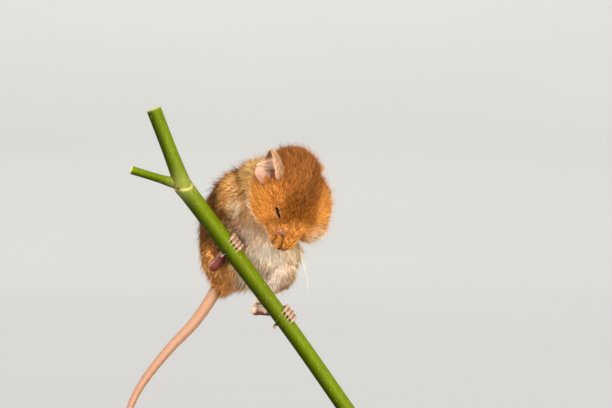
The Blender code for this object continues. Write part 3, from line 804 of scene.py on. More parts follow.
def coat_lie(places, weights):
    """The way that the tufts lie: back from the face, down the trunk, and to the wrists and left heel."""
    f, u, r = head_places(places)
    from_head = unit(places - head_point((0.0, -1.0, 0.0)))
    radial = unit(u[:, None] * HEAD_AXES[1] + r[:, None] * HEAD_AXES[2])
    muzzle = (smooth(3.6, 5.6, f) * smooth(4.4, 3.0, np.abs(r)))[:, None]
    spread = unit(places - head_point((4.6, 0.0, 0.0)))
    head = spread * (1.0 - muzzle) + (0.3 * radial - HEAD_AXES[0]) * muzzle
    head = head - HEAD_AXES[1] * 0.55 * smooth(-3.0, -7.0, f)[:, None]
    nape = smooth(64.0, 70.0, places[:, 2])[:, None]
    body = from_head * (0.55 + 0.8 * nape) + COAT_DOWN * (1.0 - 0.5 * nape)
    arm = from_head * 0.9 + COAT_DOWN * 0.7
    heel = stem_point(*LEFT_HEEL, HEEL_DEPTH)
    near = 1.0 - smooth(2.0, 4.5, far_from(places, heel))[:, None]
    left_leg = unit(heel - places) * near + body * (1.0 - near)
    ways = (head, body, body, arm, arm, body, left_leg)
    lie = sum(unit(way) * weights[:, i : i + 1] for i, way in enumerate(ways))
    for wrist in (RIGHT_WRIST, LEFT_WRIST):
        near = bell(far_from(places, wrist), 3.0)[:, None]
        lie = lie * (1.0 - near) + unit(wrist + (0, 0, -2.0) - places) * near
    return lie


def foot_colours(places, normals):
    """The bare feet's colours: a red right sole darkened by painted shade, pink heels, and pale toes with
    painted shade in their creases.
    """
    on_right = places[:, 2] > 47.0
    right_sole = smooth(-0.3, 0.35, normals @ unit((0.5, -0.6, -0.6)))
    left_sole = smooth(0.1, 0.7, normals @ unit((0.6, -0.35, -0.75)))
    sole = 0.92 * np.where(on_right, right_sole, left_sole)
    mottle = 0.25 + 0.25 * wobble(places, 1.6, 9)
    # the sole: its own red, darkened as painted shade on the side of each foot that faces down
    tint = layered(HEEL_PINK, (PINK, mottle), (RIM_PINK, on_right), (SOLE_RED_AND_SHADE, sole))
    mottle = 0.5 + 0.5 * wobble(places, 0.9, 12)
    # painted shade in the creases between the toes
    toes = layered(PALE_PINK, (PINK, mottle), (TOE_CREASE_SHADE, 0.85 * toe_crease_shade(places)))
    return np.where((stem_places(places)[2] < STEM_RADIUS + 1.0)[:, None], toes, tint)


def skin_fields(places, normals):
    """Everything that the coat needs at each point of the skin, and the skin's colours, with painted shade in
    its dents and creases.
    """
    weights = region_weights(places)
    f, _, r = head_places(places)
    on_head, leg = weights[:, 0], weights[:, 5] + weights[:, 6]
    on_body = weights / np.maximum(1.0 - on_head, 1e-3)[:, None]
    tint = mix(body_markings(places, normals, on_body), head_markings(places, normals), on_head)
    light = smooth(0.35, 0.75, tint.mean(axis=1))
    feet, cup = foot_share(places), in_ear(places)
    nose = smooth(0.9, 0.62, far_from(places, head_point(NOSE_PLACE)))
    gap, mouth = eye_gap(places), mouth_distance(places)
    face = smooth(2.0, 7.0, f) * on_head
    lid = 1.0 - smooth(0.3, 1.5, gap)
    fringe = cheek_fringe(f, r) * on_head
    fine = light * (1.0 - on_head)
    foot_gap = np.minimum(foot_distance(places, 0), foot_distance(places, 1))

    density = (1.0 + 0.55 * on_head + 0.9 * face) * (1.0 + lid)
    density = density * np.where(r > 0, smooth(0.04, 0.2, gap), 1.0)
    density *= 1.0 - 0.8 * bell(mouth, 0.2) * smooth(8.6, 9.6, f)
    density *= 1.0 - np.maximum(np.maximum(feet, nose), cup)
    width = (TUFT_WIDTH - 0.05 * on_head - 0.04 * face) * (1.0 - 0.4 * lid) * (1.0 - 0.35 * fine)
    length = TUFT_LENGTH + coat_depth(places, weights) * TUFT_GROWTH
    length = length * (1.0 - np.where(r > 0, 0.35, 0.0) * lid) * (1.0 + 0.08 * on_head + 0.7 * fringe)
    length = length * (1.0 + 0.1 * fine) * (0.35 + 0.65 * smooth(0.2, 2.4, foot_gap))
    rise = (0.54 - 0.05 * on_head - 0.15 * face + 0.28 * fringe) * (1.0 - 0.35 * leg) * (1.0 - 0.45 * fine)

    skin_tint = layered(
        tint * (0.55 + 0.35 * light)[:, None],
        # bare skin inside the ear's cup, darkened partly as painted shade
        (foot_colours(places, normals), feet), (CUP_FLOOR_SKIN_AND_SHADE, 0.8 * cup),
        # the nostrils, dark partly of their own and partly as painted shade in their dents
        (NOSE, nose), (NOSTRIL_DARK_AND_SHADE, nostril_share(places) * nose),
        (LID_PINK * 0.7, 0.4 * (1.0 - smooth(0.3, 0.7, gap)) * (r > 0)),
        (LID_DARK, 1.0 - smooth(0.04, np.where(r > 0, 0.24, 0.5), gap)),
        # the mouth's line, dark partly of its own and partly as painted shade in its groove
        (NOSTRIL_DARK_AND_SHADE, 0.7 * bell(mouth, 0.16) * (1.0 - feet)),
    )
    return {
        "weights": weights, "tint": tint, "skin_tint": skin_tint, "lie": coat_lie(places, weights),
        "length": length, "width": width, "density": density, "rise": rise,
    }


# Coat

TUFTS = 136000
PIECE_TUFTS = 19500
TUFT_FACES = np.array((
    (0, 2, 1), (0, 1, 4), (0, 4, 3), (1, 2, 5), (1, 5, 4), (2, 0, 3), (2, 3, 5),
    (3, 4, 6), (4, 5, 6), (5, 3, 6),
))
PATCH = 0.0013
TUFT_MAP = PATCH * np.array(((-1, -1), (1, -1), (0, -1.2), (-1, 0), (1, 0), (0, 0.1), (0, 1)))


def chances(places, triangles, density):
    """How likely a tuft is to stand on each triangle."""
    a, b, c = (places[triangles[:, i]] for i in range(3))
    area = np.linalg.norm(np.cross(b - a, c - a), axis=1) / 2
    return area * density[triangles].mean(axis=1)


def scatter(places, triangles, density, count, rng):
    """Seeded random spots on the triangles: their triangle and their three shares."""
    ends = np.cumsum(chances(places, triangles, density))
    picks = np.searchsorted(ends, (np.arange(count) + rng.uniform(size=count)) / count * ends[-1])
    picks = np.minimum(picks, len(triangles) - 1)
    s, t = np.sqrt(rng.uniform(size=count)), rng.uniform(size=count)
    shares = np.column_stack((1.0 - s, s * (1.0 - t), s * t))
    return picks, shares


def blend(values, triangles, picks, shares):
    """Values at spots on the triangles, from those at their corners."""
    return np.einsum("ij,ij...->i...", shares, values[triangles[picks]])


def nearest(points, centres):
    tree = KDTree(len(centres))
    for i, centre in enumerate(centres.tolist()):
        tree.insert(centre, i)
    tree.balance()
    return np.array([tree.find(point)[1] for point in points.tolist()])


def unwrapped(places, triangles):
    """A map of the triangles' corners, from an unwrap of their shape."""
    used, inverse = np.unique(triangles, return_inverse=True)
    obj = add_object("unwrap", places[used], inverse.reshape(-1, 3))
    bpy.ops.object.select_all(action="DESELECT")
    obj.select_set(True)
    bpy.context.view_layer.objects.active = obj
    bpy.ops.object.mode_set(mode="EDIT")
    bpy.ops.mesh.select_all(action="SELECT")
    bpy.ops.uv.smart_project(angle_limit=math.radians(70), island_margin=0.004)
    bpy.ops.object.mode_set(mode="OBJECT")
    corners = np.zeros(len(triangles) * 6)
    obj.data.uv_layers[0].data.foreach_get("uv", corners)
    bpy.data.objects.remove(obj, do_unlink=True)
    return corners.reshape(-1, 3, 2)


def tuft_points(low, mid, tip, side, top, crest, slim):
    """The seven points of each tuft: three round its root, three round its middle, and its tip."""
    return np.stack([
        low - side, low + side, low + top * crest,
        mid - side * slim, mid + side * slim, mid + top * slim, tip,
    ], axis=1)


def tuft_object(name, verts, spots, tints):
    """One coat piece from the seven points of each tuft."""
    count = len(verts)
    faces = (TUFT_FACES[None] + 7 * np.arange(count)[:, None, None]).reshape(-1, 3)
    mesh = bpy.data.meshes.new(name)
    mesh.vertices.add(count * 7)
    mesh.vertices.foreach_set("co", (verts * MM).astype(np.float32).ravel())
    mesh.loops.add(len(faces) * 3)
    mesh.loops.foreach_set("vertex_index", faces.astype(np.int32).ravel())
    mesh.polygons.add(len(faces))
    mesh.polygons.foreach_set("loop_start", np.arange(0, len(faces) * 3, 3, dtype=np.int32))
    mesh.update(calc_edges=True)
    mesh.shade_smooth()
    layer = mesh.uv_layers.new(name="OFBake")
    corner = (TUFT_MAP[TUFT_FACES][None] + spots[:, None, None, :]).astype(np.float32)
    layer.data.foreach_set("uv", corner.ravel())
    obj = add_data(name, mesh)
    set_tint(obj, tints.reshape(-1, 3))
    return obj


ZONES = ("head", "neck", "trunk", "forelegs", "hindlegs")
ZONE_OF_REGION = np.array((0, 1, 2, 3, 3, 4, 4))
# For the head and for the rest: guard hairs and dark tips, how far hairs turn and how hard clumps pull
GUARDS, TICKED, TURN, CLUMPING = (0.12, 0.08), (0.26, 0.16), (0.15, 0.2), (0.5, 0.8)
GUARD_LENGTH, GUARD_LIFT, GUARD_WIDTH, GUARD_PULL = 1.5, 1.6, 0.5, 0.2
CLUMP_SIZE, TUFT_SINK = 9, 0.06
# Added to the tufts' tips as a painted glow of light shining through them
TIP_PAINTED_GLOW = (0.02, 0.012, 0.002)


def grow_zone(zone, places, normals, triangles, fields, count):
    """The coat pieces of one zone. Tufts lean along the lie, gather in clumps and end in fine tips."""
    rest = int(zone > 0)
    rng = np.random.default_rng(100 + zone)
    picks, shares = scatter(places, triangles, fields["density"], count, rng)
    own_fields = (fields[key] for key in ("lie", "length", "width", "rise", "tint"))
    root, normal, lie, length, width, rise, tint = (
        blend(values, triangles, picks, shares) for values in (places, normals, *own_fields)
    )
    normal = unit(normal)
    tint = tint * (PAINT + (1.0 - PAINT) * smooth(0.2, 0.6, tint.mean(axis=1)))[:, None]
    pale = smooth(0.35, 0.75, tint.mean(axis=1)) * (0.25, 1.0)[rest]
    length *= np.exp(rng.normal(0.0, 0.16, count))
    flat = unit(lie - normal * (lie * normal).sum(axis=1, keepdims=True))
    turn = rng.normal(0.0, TURN[rest], count)[:, None]
    flat = unit(flat * np.cos(turn) + np.cross(normal, flat) * np.sin(turn))
    lift = rise * np.exp(rng.normal(0.0, 0.2, count))
    guard = rng.uniform(size=count) < GUARDS[rest]
    length = length * np.where(guard, GUARD_LENGTH, 1.0)
    lift = lift * np.where(guard, GUARD_LIFT, 1.0)
    width = width * np.where(guard, GUARD_WIDTH, 1.0)

    def leaning(share, angle):
        """A step of a share of each tuft's length, raised from the skin by an angle."""
        return length[:, None] * share * (flat * np.cos(angle)[:, None] + normal * np.sin(angle)[:, None])

    mid = root + leaning(0.45, lift + 0.12)
    tip = mid + leaning(0.55, lift * 0.62)
    centres = rng.choice(count, max(1, count // CLUMP_SIZE), replace=False)
    own = nearest(root, root[centres])
    leader = centres[own]
    pull = rng.uniform(0.3, 0.75, count) * np.where(guard, GUARD_PULL, 1.0)
    pull = (pull * CLUMPING[rest] * (1.0 - 0.65 * pale))[:, None]
    tip = tip + (tip[leader] + (root - root[leader]) * 0.2 - tip) * pull
    mid = mid + (mid[leader] + (root - root[leader]) * 0.6 - mid) * pull * 0.5
    clump_shade = rng.normal(0.0, 0.16, len(centres))[own] * (1.0 - 0.6 * pale)
    shade = np.exp(clump_shade + rng.normal(0.0, 0.26, count) * (1.0 - 0.6 * pale))
    direction = unit(tip - root)
    side = unit(np.cross(normal, direction))
    top = unit(np.cross(direction, side))
    w = (width / 2 * rng.uniform(0.75, 1.25, count))[:, None]
    verts = tuft_points(root - normal * TUFT_SINK, mid, tip, side * w, top * w, 0.9, 0.8)
    ticked = (rng.uniform(size=count) < TICKED[rest]) * 0.85 * (1.0 - pale)
    # Tips are lighter: partly the hairs' own paler tips, partly painted glow of light shining through them
    tip_tint = mix(tint * 1.35 + TIP_PAINTED_GLOW, TICK, ticked)
    mid_tint = mix(tint * (0.86 + 0.14 * pale)[:, None], TICK, 0.4 * ticked)
    low_tint = tint * (0.45 + 0.5 * pale)[:, None]
    shades = np.stack([low_tint] * 3 + [mid_tint] * 3 + [tip_tint], axis=1) * shade[:, None, None]
    spots = np.einsum("ij,ijk->ik", shares, unwrapped(places, triangles)[picks])
    order = rng.permutation(count)
    parts = -(-count // PIECE_TUFTS)
    pieces = []
    for part in range(parts):
        take = np.sort(order[part::parts])
        pieces.append(tuft_object(f"coat_{ZONES[zone]}_{part + 1}", verts[take], spots[take], shades[take]))
    return pieces


def grow_coat(places, normals, triangles, fields):
    """The coat, shared out over the zones by their area and density."""
    zones = ZONE_OF_REGION[fields["weights"].argmax(axis=1)][triangles[:, 0]]
    chance = chances(places, triangles, fields["density"])
    pieces = []
    for zone in range(len(ZONES)):
        count = int(TUFTS * chance[zones == zone].sum() / chance.sum())
        pieces += grow_zone(zone, places, normals, triangles[zones == zone], fields, count)
    return pieces


# Ears, tail and whiskers

# Rims and back of an ear: places along its height, across it and out of its opening
NEAR_RIM = ((-0.6, 1.2, -1.6), (1.0, 2.3, -0.5), (3.0, 2.2, 0.1), (4.7, 1.2, 0.25), (5.5, 0.3, 0.2))
EAR_BACK = ((-1.4, 0.2, -1.7), (1.0, 0.2, -2.2), (3.0, 0.0, -1.7), (4.6, 0.0, -0.9), (5.6, 0.0, 0.0))
FAR_RIM = ((-1.4, -1.2, 1.4), (0.7, -1.9, 2.5), (2.3, -2.2, 2.1), (3.7, -1.6, 0.7), (5.5, -0.3, 0.2))
EAR_ROWS, EAR_COLUMNS = 60, 44
EAR_FOLD = np.array((0.0, 0.7, 0.7))
EAR_HAIRS = 4200
EAR_THICKNESS = 0.24
# The dent down the flap is darkened as painted shade
EAR_FLAP, EAR_FLAP_DENT_SHADE = colour(176, 128, 96), colour(128, 82, 56)
# The cup's upper inside is brown of its own and darkened further as painted shade
EAR_CUP, EAR_TOP_BROWN_AND_SHADE, EAR_LOBE = colour(226, 184, 156), colour(122, 72, 48), colour(178, 122, 112)
# The hollow below the folds is darkened as painted shade
EAR_HOLLOW_SHADE, EAR_RIDGE = colour(70, 18, 10), colour(236, 190, 158)
EAR_NEAR_RIM, EAR_FAR_RIM = colour(222, 176, 140), colour(206, 156, 126)


def ear_ridges(h, x):
    """1 along the crests of the folds inside the cup."""
    upper = bell(h - 0.58 - 0.10 * x - 0.02 * np.sin(9.0 * x), 0.05) * bell(x + 0.75, 0.4)
    lower = bell(h - 0.40 + 0.08 * x, 0.045) * bell(x + 0.62, 0.26)
    return np.maximum(upper, 0.85 * lower)


def ear_fold(h, x):
    """How far the folds, the hollow and the lobe rise from the cup's wall."""
    lobe = 0.4 * bell(h - 0.16, 0.1) * bell(x + 0.84, 0.18)
    hollow = 0.5 * bell(h - 0.25, 0.05) * bell(x + 0.35, 0.22)
    line = 0.16 * bell(x - 0.55, 0.1) * smooth(0.25, 0.4, h) * (1.0 - smooth(0.8, 0.95, h))
    return 0.75 * ear_ridges(h, x) + lobe - hollow - line


def ear_arrays(root, tip, opening, mirror):
    """A thin cupped ear with its folds: places, faces and shares up it and across it."""
    axes = ear_axes(tip, opening, mirror)
    rims = [curve_through(line, EAR_ROWS // 4) for line in (NEAR_RIM, EAR_BACK, FAR_RIM)]
    near, back, far = (line[: EAR_ROWS + 1] for line in rims)
    places, shares = [], []
    for i in range(EAR_ROWS + 1):
        h = i / EAR_ROWS
        for k in range(EAR_COLUMNS + 1):
            x = 2.0 * k / EAR_COLUMNS - 1.0
            middle, half = (near[i] + far[i]) / 2, (near[i] - far[i]) / 2
            cup = middle + half * math.sin(x * math.pi / 2) + (back[i] - middle) * math.cos(x * math.pi / 2)
            cup += EAR_FOLD * ear_fold(h, x)
            curl = -0.3 * smooth(0.82, 1.0, abs(x)) * smooth(0.15, 0.4, h)
            places.append(cup + np.array((0.0, 0.0, curl)))
            shares.append((h, x))
    faces = [face[::mirror] for face in grid_faces(EAR_ROWS, EAR_COLUMNS + 1, False)]
    return head_point(root) + np.array(places) @ axes, faces, np.array(shares)


def build_ear(name, root, tip, opening, mirror):
    places, faces, shares = ear_arrays(root, tip, opening, mirror)
    ear = add_object(name, places, faces)
    h, x = shares.T
    set_tint(ear, layered(
        # the cup's upper inside: its own brown, deepened as painted shade
        EAR_CUP, (EAR_TOP_BROWN_AND_SHADE, smooth(0.6, 0.75, h)),
        (EAR_LOBE, 0.9 * bell(h - 0.14, 0.14) * smooth(-0.6, -0.8, x)),
        # painted shade in the hollow below the folds
        (EAR_HOLLOW_SHADE, 0.95 * bell(h - 0.27, 0.09) * bell(x + 0.3, 0.26)),
        (EAR_RIDGE, 0.9 * ear_ridges(h, x)),
        # painted shade in the dent down the flap
        (mix(EAR_FLAP, EAR_FLAP_DENT_SHADE, bell(x - 0.5, 0.18)), smooth(-0.1, 0.1, x)),
        (EAR_NEAR_RIM, 0.8 * smooth(0.84, 0.97, x)), (EAR_FAR_RIM, 0.7 * smooth(0.9, 1.0, -x)),
    ))
    wall = ear.modifiers.new("wall", "SOLIDIFY")
    wall.thickness = EAR_THICKNESS * MM
    wall.offset = 0.0
    round_rim = ear.modifiers.new("round", "SUBSURF")
    round_rim.levels = round_rim.render_levels = 1
    apply_modifiers(ear)
    ear.data.shade_smooth()
    return ear


TAIL_LINE = (
    (-6.8, 13.2, 48.6), (-9.4, 12.6, 43.7), (-12.8, 11.6, 38.9), (-18.0, 10.0, 33.4), (-23.0, 8.2, 26.9),
    (-25.7, 6.8, 21.3), (-26.8, 5.6, 16.0), (-25.6, 4.9, 11.4), (-22.6, 4.6, 9.0), (-19.4, 4.8, 9.8),
)
TAIL_RADIUS, TAIL_TIP_RADIUS = 1.3, 0.32
TAIL_RING, RING_DEPTH = 0.42, 0.055
TAIL_SIDES = 22
TAIL_BASE_TINT, TAIL_TIP_TINT = colour(182, 136, 102), colour(166, 118, 88)
# Painted shade darkens the grooves between the tail's rings
TAIL_GROOVE_SHADE, TAIL_SHADE = colour(140, 92, 66), colour(168, 116, 88)
TAIL_HAIRS, TAIL_HAIR_WIDTH, EAR_HAIR_WIDTH = 5200, 0.018, 0.02
TAIL_HAIR_TINTS = colour(214, 170, 130), colour(150, 100, 66)
EAR_HAIR_TINTS = colour(236, 196, 152), colour(128, 80, 46)


def tail_path(spacing):
    """Evenly spaced places along the tail, with its radius at each."""
    fine = curve_through(TAIL_LINE, 60)
    far = np.concatenate([[0.0], np.cumsum(np.linalg.norm(np.diff(fine, axis=0), axis=1))])
    spots = np.arange(0.0, far[-1], spacing)
    path = np.column_stack([np.interp(spots, far, fine[:, i]) for i in range(3)])
    share = spots / far[-1]
    return path, TAIL_RADIUS + (TAIL_TIP_RADIUS - TAIL_RADIUS) * share**1.1, spots, share


def build_tail():
    """The ringed tail, round and tapered, from inside the rump to its rounded tip."""
    path, radii, spots, share = tail_path(TAIL_RING / 5)
    ring = 0.5 + 0.5 * np.cos(2.0 * math.pi * spots / TAIL_RING)
    radii = radii - RING_DEPTH * ring**3 * (radii / TAIL_RADIUS)
    end = (spots[-1] - spots) / TAIL_TIP_RADIUS
    radii = radii * np.sqrt(np.clip(1.0 - (1.0 - np.minimum(end, 1.0)) ** 2, 0.04, 1.0))
    tail = add_object("tail", *tube(np.column_stack([path, radii]), TAIL_SIDES))
    rings = np.concatenate([np.repeat(ring, TAIL_SIDES), ring[:1], ring[-1:]])
    shares = np.concatenate([np.repeat(share, TAIL_SIDES), [0.0, 1.0]])
    shade = 0.35 * smooth(0.2, 0.9, arrays(tail)[1][:, 1])
    # painted shade in the grooves between the rings
    layers = (TAIL_TIP_TINT, shares), (TAIL_GROOVE_SHADE, 0.5 * rings**3), (TAIL_SHADE, shade)
    set_tint(tail, layered(TAIL_BASE_TINT, *layers))
    return tail


def hair_tufts(name, roots, directions, lengths, width, tints):
    """Short single hairs, each a thin tapered prism."""
    count = len(roots)
    directions = unit(directions)
    side = unit(np.cross(directions, Z + 0.3 * X))
    top = np.cross(directions, side)
    tip = roots + directions * lengths[:, None]
    mid = (roots + tip) / 2 + top * (0.04 * lengths)[:, None]
    w = np.broadcast_to(width, (count,))[:, None]
    verts = tuft_points(roots, mid, tip, side * w, top * w, 1.0, 0.7)
    per_row = int(math.ceil(math.sqrt(count)))
    rows, columns = np.divmod(np.arange(count), per_row)
    spots = np.column_stack([(columns + 0.5) / per_row, (rows + 0.5) / per_row])
    return tuft_object(name, verts, spots, np.repeat(tints[:, None], 7, axis=1))


def build_tail_hairs():
    """Short hairs that lie back along the tail."""
    rng = np.random.default_rng(21)
    path, radii, _, _ = tail_path(0.1)
    pick = rng.integers(8, len(path) - 2, TAIL_HAIRS)
    tangent = unit(np.gradient(path, axis=0))[pick]
    out = unit(rng.normal(size=(TAIL_HAIRS, 3)))
    out = unit(out - tangent * (out * tangent).sum(axis=1, keepdims=True))
    roots = path[pick] + out * (radii[pick] - 0.06)[:, None]
    lean = 0.32 + 0.1 * rng.normal(size=TAIL_HAIRS)
    lengths = rng.uniform(0.28, 0.6, TAIL_HAIRS)
    tints = mix(*TAIL_HAIR_TINTS, rng.uniform(size=TAIL_HAIRS))
    return hair_tufts("tail_hairs", roots, tangent + out * lean[:, None], lengths, TAIL_HAIR_WIDTH, tints)


def build_ear_hairs(ears):
    """Short fine hairs all over the ears."""
    rng = np.random.default_rng(41)
    rows = []
    for ear, (_, tip, opening), mirror in ((ears[0], RIGHT_EAR, 1), (ears[1], LEFT_EAR, -1)):
        verts, normals, triangles = arrays(ear)
        spots = scatter(verts, triangles, np.ones(len(verts)), EAR_HAIRS, rng)
        roots, out = blend(verts, triangles, *spots), unit(blend(normals, triangles, *spots))
        up = ear_axes(tip, opening, mirror)[0]
        directions = up + out * 0.5 + rng.normal(0.0, 0.22, (EAR_HAIRS, 3))
        rows.append((roots - out * 0.03, directions, rng.uniform(0.3, 0.75, EAR_HAIRS)))
    roots, directions, lengths = (np.concatenate(part) for part in zip(*rows))
    tints = mix(*EAR_HAIR_TINTS, rng.uniform(size=len(roots)) ** 1.5)
    return hair_tufts("ear_hairs", roots, directions, lengths, EAR_HAIR_WIDTH, tints)


# On each side: rows and columns of whiskers, their share of the full length and their radius
WHISKERS = ((1, 1, 3, 0.6, 0.012), (-1, 4, 4, 1.0, 0.02))


def build_whiskers():
    """Long fine whiskers that curve out and down from the pads."""
    rng = np.random.default_rng(31)
    steps = np.linspace(0.0, 1.0, 14)
    parts = []
    for side, rows, columns, share, radius in WHISKERS:
        for row, column in np.ndindex(rows, columns):
            f, u, r = 8.9 - 0.7 * column, -0.2 - 0.55 * row + 0.1 * column, (1.75 + 0.22 * column) * side
            length = (4.5 + 3.0 * column) * rng.uniform(0.8, 1.15) * share
            way = head_direction((1.1, -0.1 - 0.25 * row, (0.35 + 0.08 * column) * side))
            way = unit(unit(way) + rng.normal(0.0, 0.09, 3))
            bend = np.array((0.0, 0.2, -0.6)) + rng.normal(0.0, 0.13, 3)
            path = head_point((f, u, r)) + np.outer(steps, way) * length
            path = path + np.outer(steps**2, bend) * length * 0.35
            parts.append(tube(np.column_stack([path, radius * (1.0 - steps) ** 0.8 + 0.006]), 5))
    return add_object("whiskers", *joined(parts))


# Stem

STEM_NODE, STEM_END, STEM_END_SHIFT, STEM_LOW_RADIUS = -17.0, 40.0, -0.6, 1.6
UPPER_LENGTH, UPPER_LEAN, UPPER_RADIUS = 16.5, math.radians(21.0), 1.5
BRANCH_LENGTH, BRANCH_RISE, BRANCH_RADIUS = 11.0, math.radians(17.0), 0.85
SWELLING = 0.2
BARK_VOXEL, BARK_SHARE = 0.13, 0.5
SCAR_ALONG, SCAR_ANGLE, SCAR_RADII = STEM_NODE - 0.2, math.radians(-118), (0.75, 0.35, 0.5)
# The stem's lit upper right side and shaded lower left side are painted, besides its own pale ridge, brown scar
# and pale pith
STEM_SHADED_SIDE, STEM_LIT_SIDE, RIDGE_PALE = colour(42, 52, 0), colour(98, 114, 0), colour(196, 192, 110)
SCAR_BROWN, PITH = colour(88, 62, 34), colour(196, 196, 120)


def build_stem():
    """The stem with its swollen node, the ridge where a leaf grew, and the side branch's stub."""
    foot, node = stem_point(STEM_END, STEM_END_SHIFT, 0), stem_point(STEM_NODE, 0, 0)
    top = node + np.array((-math.sin(UPPER_LEAN), 0, math.cos(UPPER_LEAN))) * UPPER_LENGTH
    side = node + np.array((-math.cos(BRANCH_RISE), 0, math.sin(BRANCH_RISE))) * BRANCH_LENGTH
    main = curved_tube([
        (*(foot + STEM_ALONG * 3.0), STEM_LOW_RADIUS), (*foot, STEM_LOW_RADIUS),
        (*stem_point(STEM_END / 2, 0, 0), STEM_LOW_RADIUS), (*stem_point(0, 0, 0), STEM_RADIUS),
        (*stem_point(STEM_NODE / 2, 0, 0), STEM_RADIUS),
        (*stem_point(STEM_NODE + 2.0, 0, 0), STEM_RADIUS + 0.1),
        (*node, STEM_RADIUS + SWELLING), (*(node + (top - node) * 0.12), UPPER_RADIUS + SWELLING),
        (*(node + (top - node) * 0.5), UPPER_RADIUS), (*top, UPPER_RADIUS),
    ], 9, 36)
    branch = curved_tube([
        (*node, BRANCH_RADIUS + SWELLING), (*(node + (side - node) * 0.22), BRANCH_RADIUS + SWELLING),
        (*(node + (side - node) * 0.5), BRANCH_RADIUS), (*side, BRANCH_RADIUS),
    ], 7, 24)
    collar = []
    for k in range(33):
        angle = math.radians(-150 + 300 * k / 32)
        along = STEM_NODE + 1.3 - 1.5 * math.cos(angle - 0.5) ** 2
        place = round_stem(along, angle + math.pi, STEM_RADIUS + 0.06)
        collar.append((*place, 0.2 + 0.07 * math.sin(3 * angle)))
    scar, scar_top = (round_stem(SCAR_ALONG, SCAR_ANGLE, STEM_RADIUS + out) for out in (0.1, 0.4))
    parts = [main, branch, tube(collar, 10), ball_arrays(scar, SCAR_RADII, detail=3)]
    stem = smooth_mesh(remesh(add_object("stem_bark", *joined(parts)), BARK_VOXEL), 3)
    below = add_object("below", *box_arrays(foot - Z * 10.0, (20.0, 20.0, 20.0)))
    cut = stem.modifiers.new("cut", "BOOLEAN")
    cut.operation = "DIFFERENCE"
    cut.object = below
    apply_modifiers(stem)
    bpy.data.objects.remove(below, do_unlink=True)
    thin_mesh(stem, BARK_SHARE)
    stem.data.shade_smooth()
    stem.data.set_sharp_from_angle(angle=math.radians(50))
    places, normals, _ = arrays(stem)
    pale = bell(line_distance(places, np.array(collar)[:, :3]), 0.32)
    pale = np.maximum(pale, 0.35 * bell(far_from(places, node), 2.6))
    cut_end = np.minimum(
        far_from(places, top) / (UPPER_RADIUS + 0.08), far_from(places, side) / (BRANCH_RADIUS + 0.08),
    )
    set_tint(stem, layered(
        # painted light and shade: lighter on the stem's upper right side, darker on its lower left side
        STEM_SHADED_SIDE, (STEM_LIT_SIDE, smooth(-0.85, 0.5, normals @ STEM_ACROSS)), (RIDGE_PALE, pale),
        (SCAR_BROWN, 0.85 * bell(far_from(places, scar_top), 0.45)),
        (PITH, 1.0 - smooth(0.88, 1.0, cut_end)),
    ))
    return stem


def box_arrays(centre, size):
    corners = np.array([(x, y, z) for x in (-0.5, 0.5) for y in (-0.5, 0.5) for z in (-0.5, 0.5)])
    faces = [(0, 1, 3, 2), (4, 6, 7, 5), (0, 4, 5, 1), (2, 3, 7, 6), (0, 2, 6, 4), (1, 5, 7, 3)]
    return corners * np.asarray(size) + np.asarray(centre), faces


# Materials


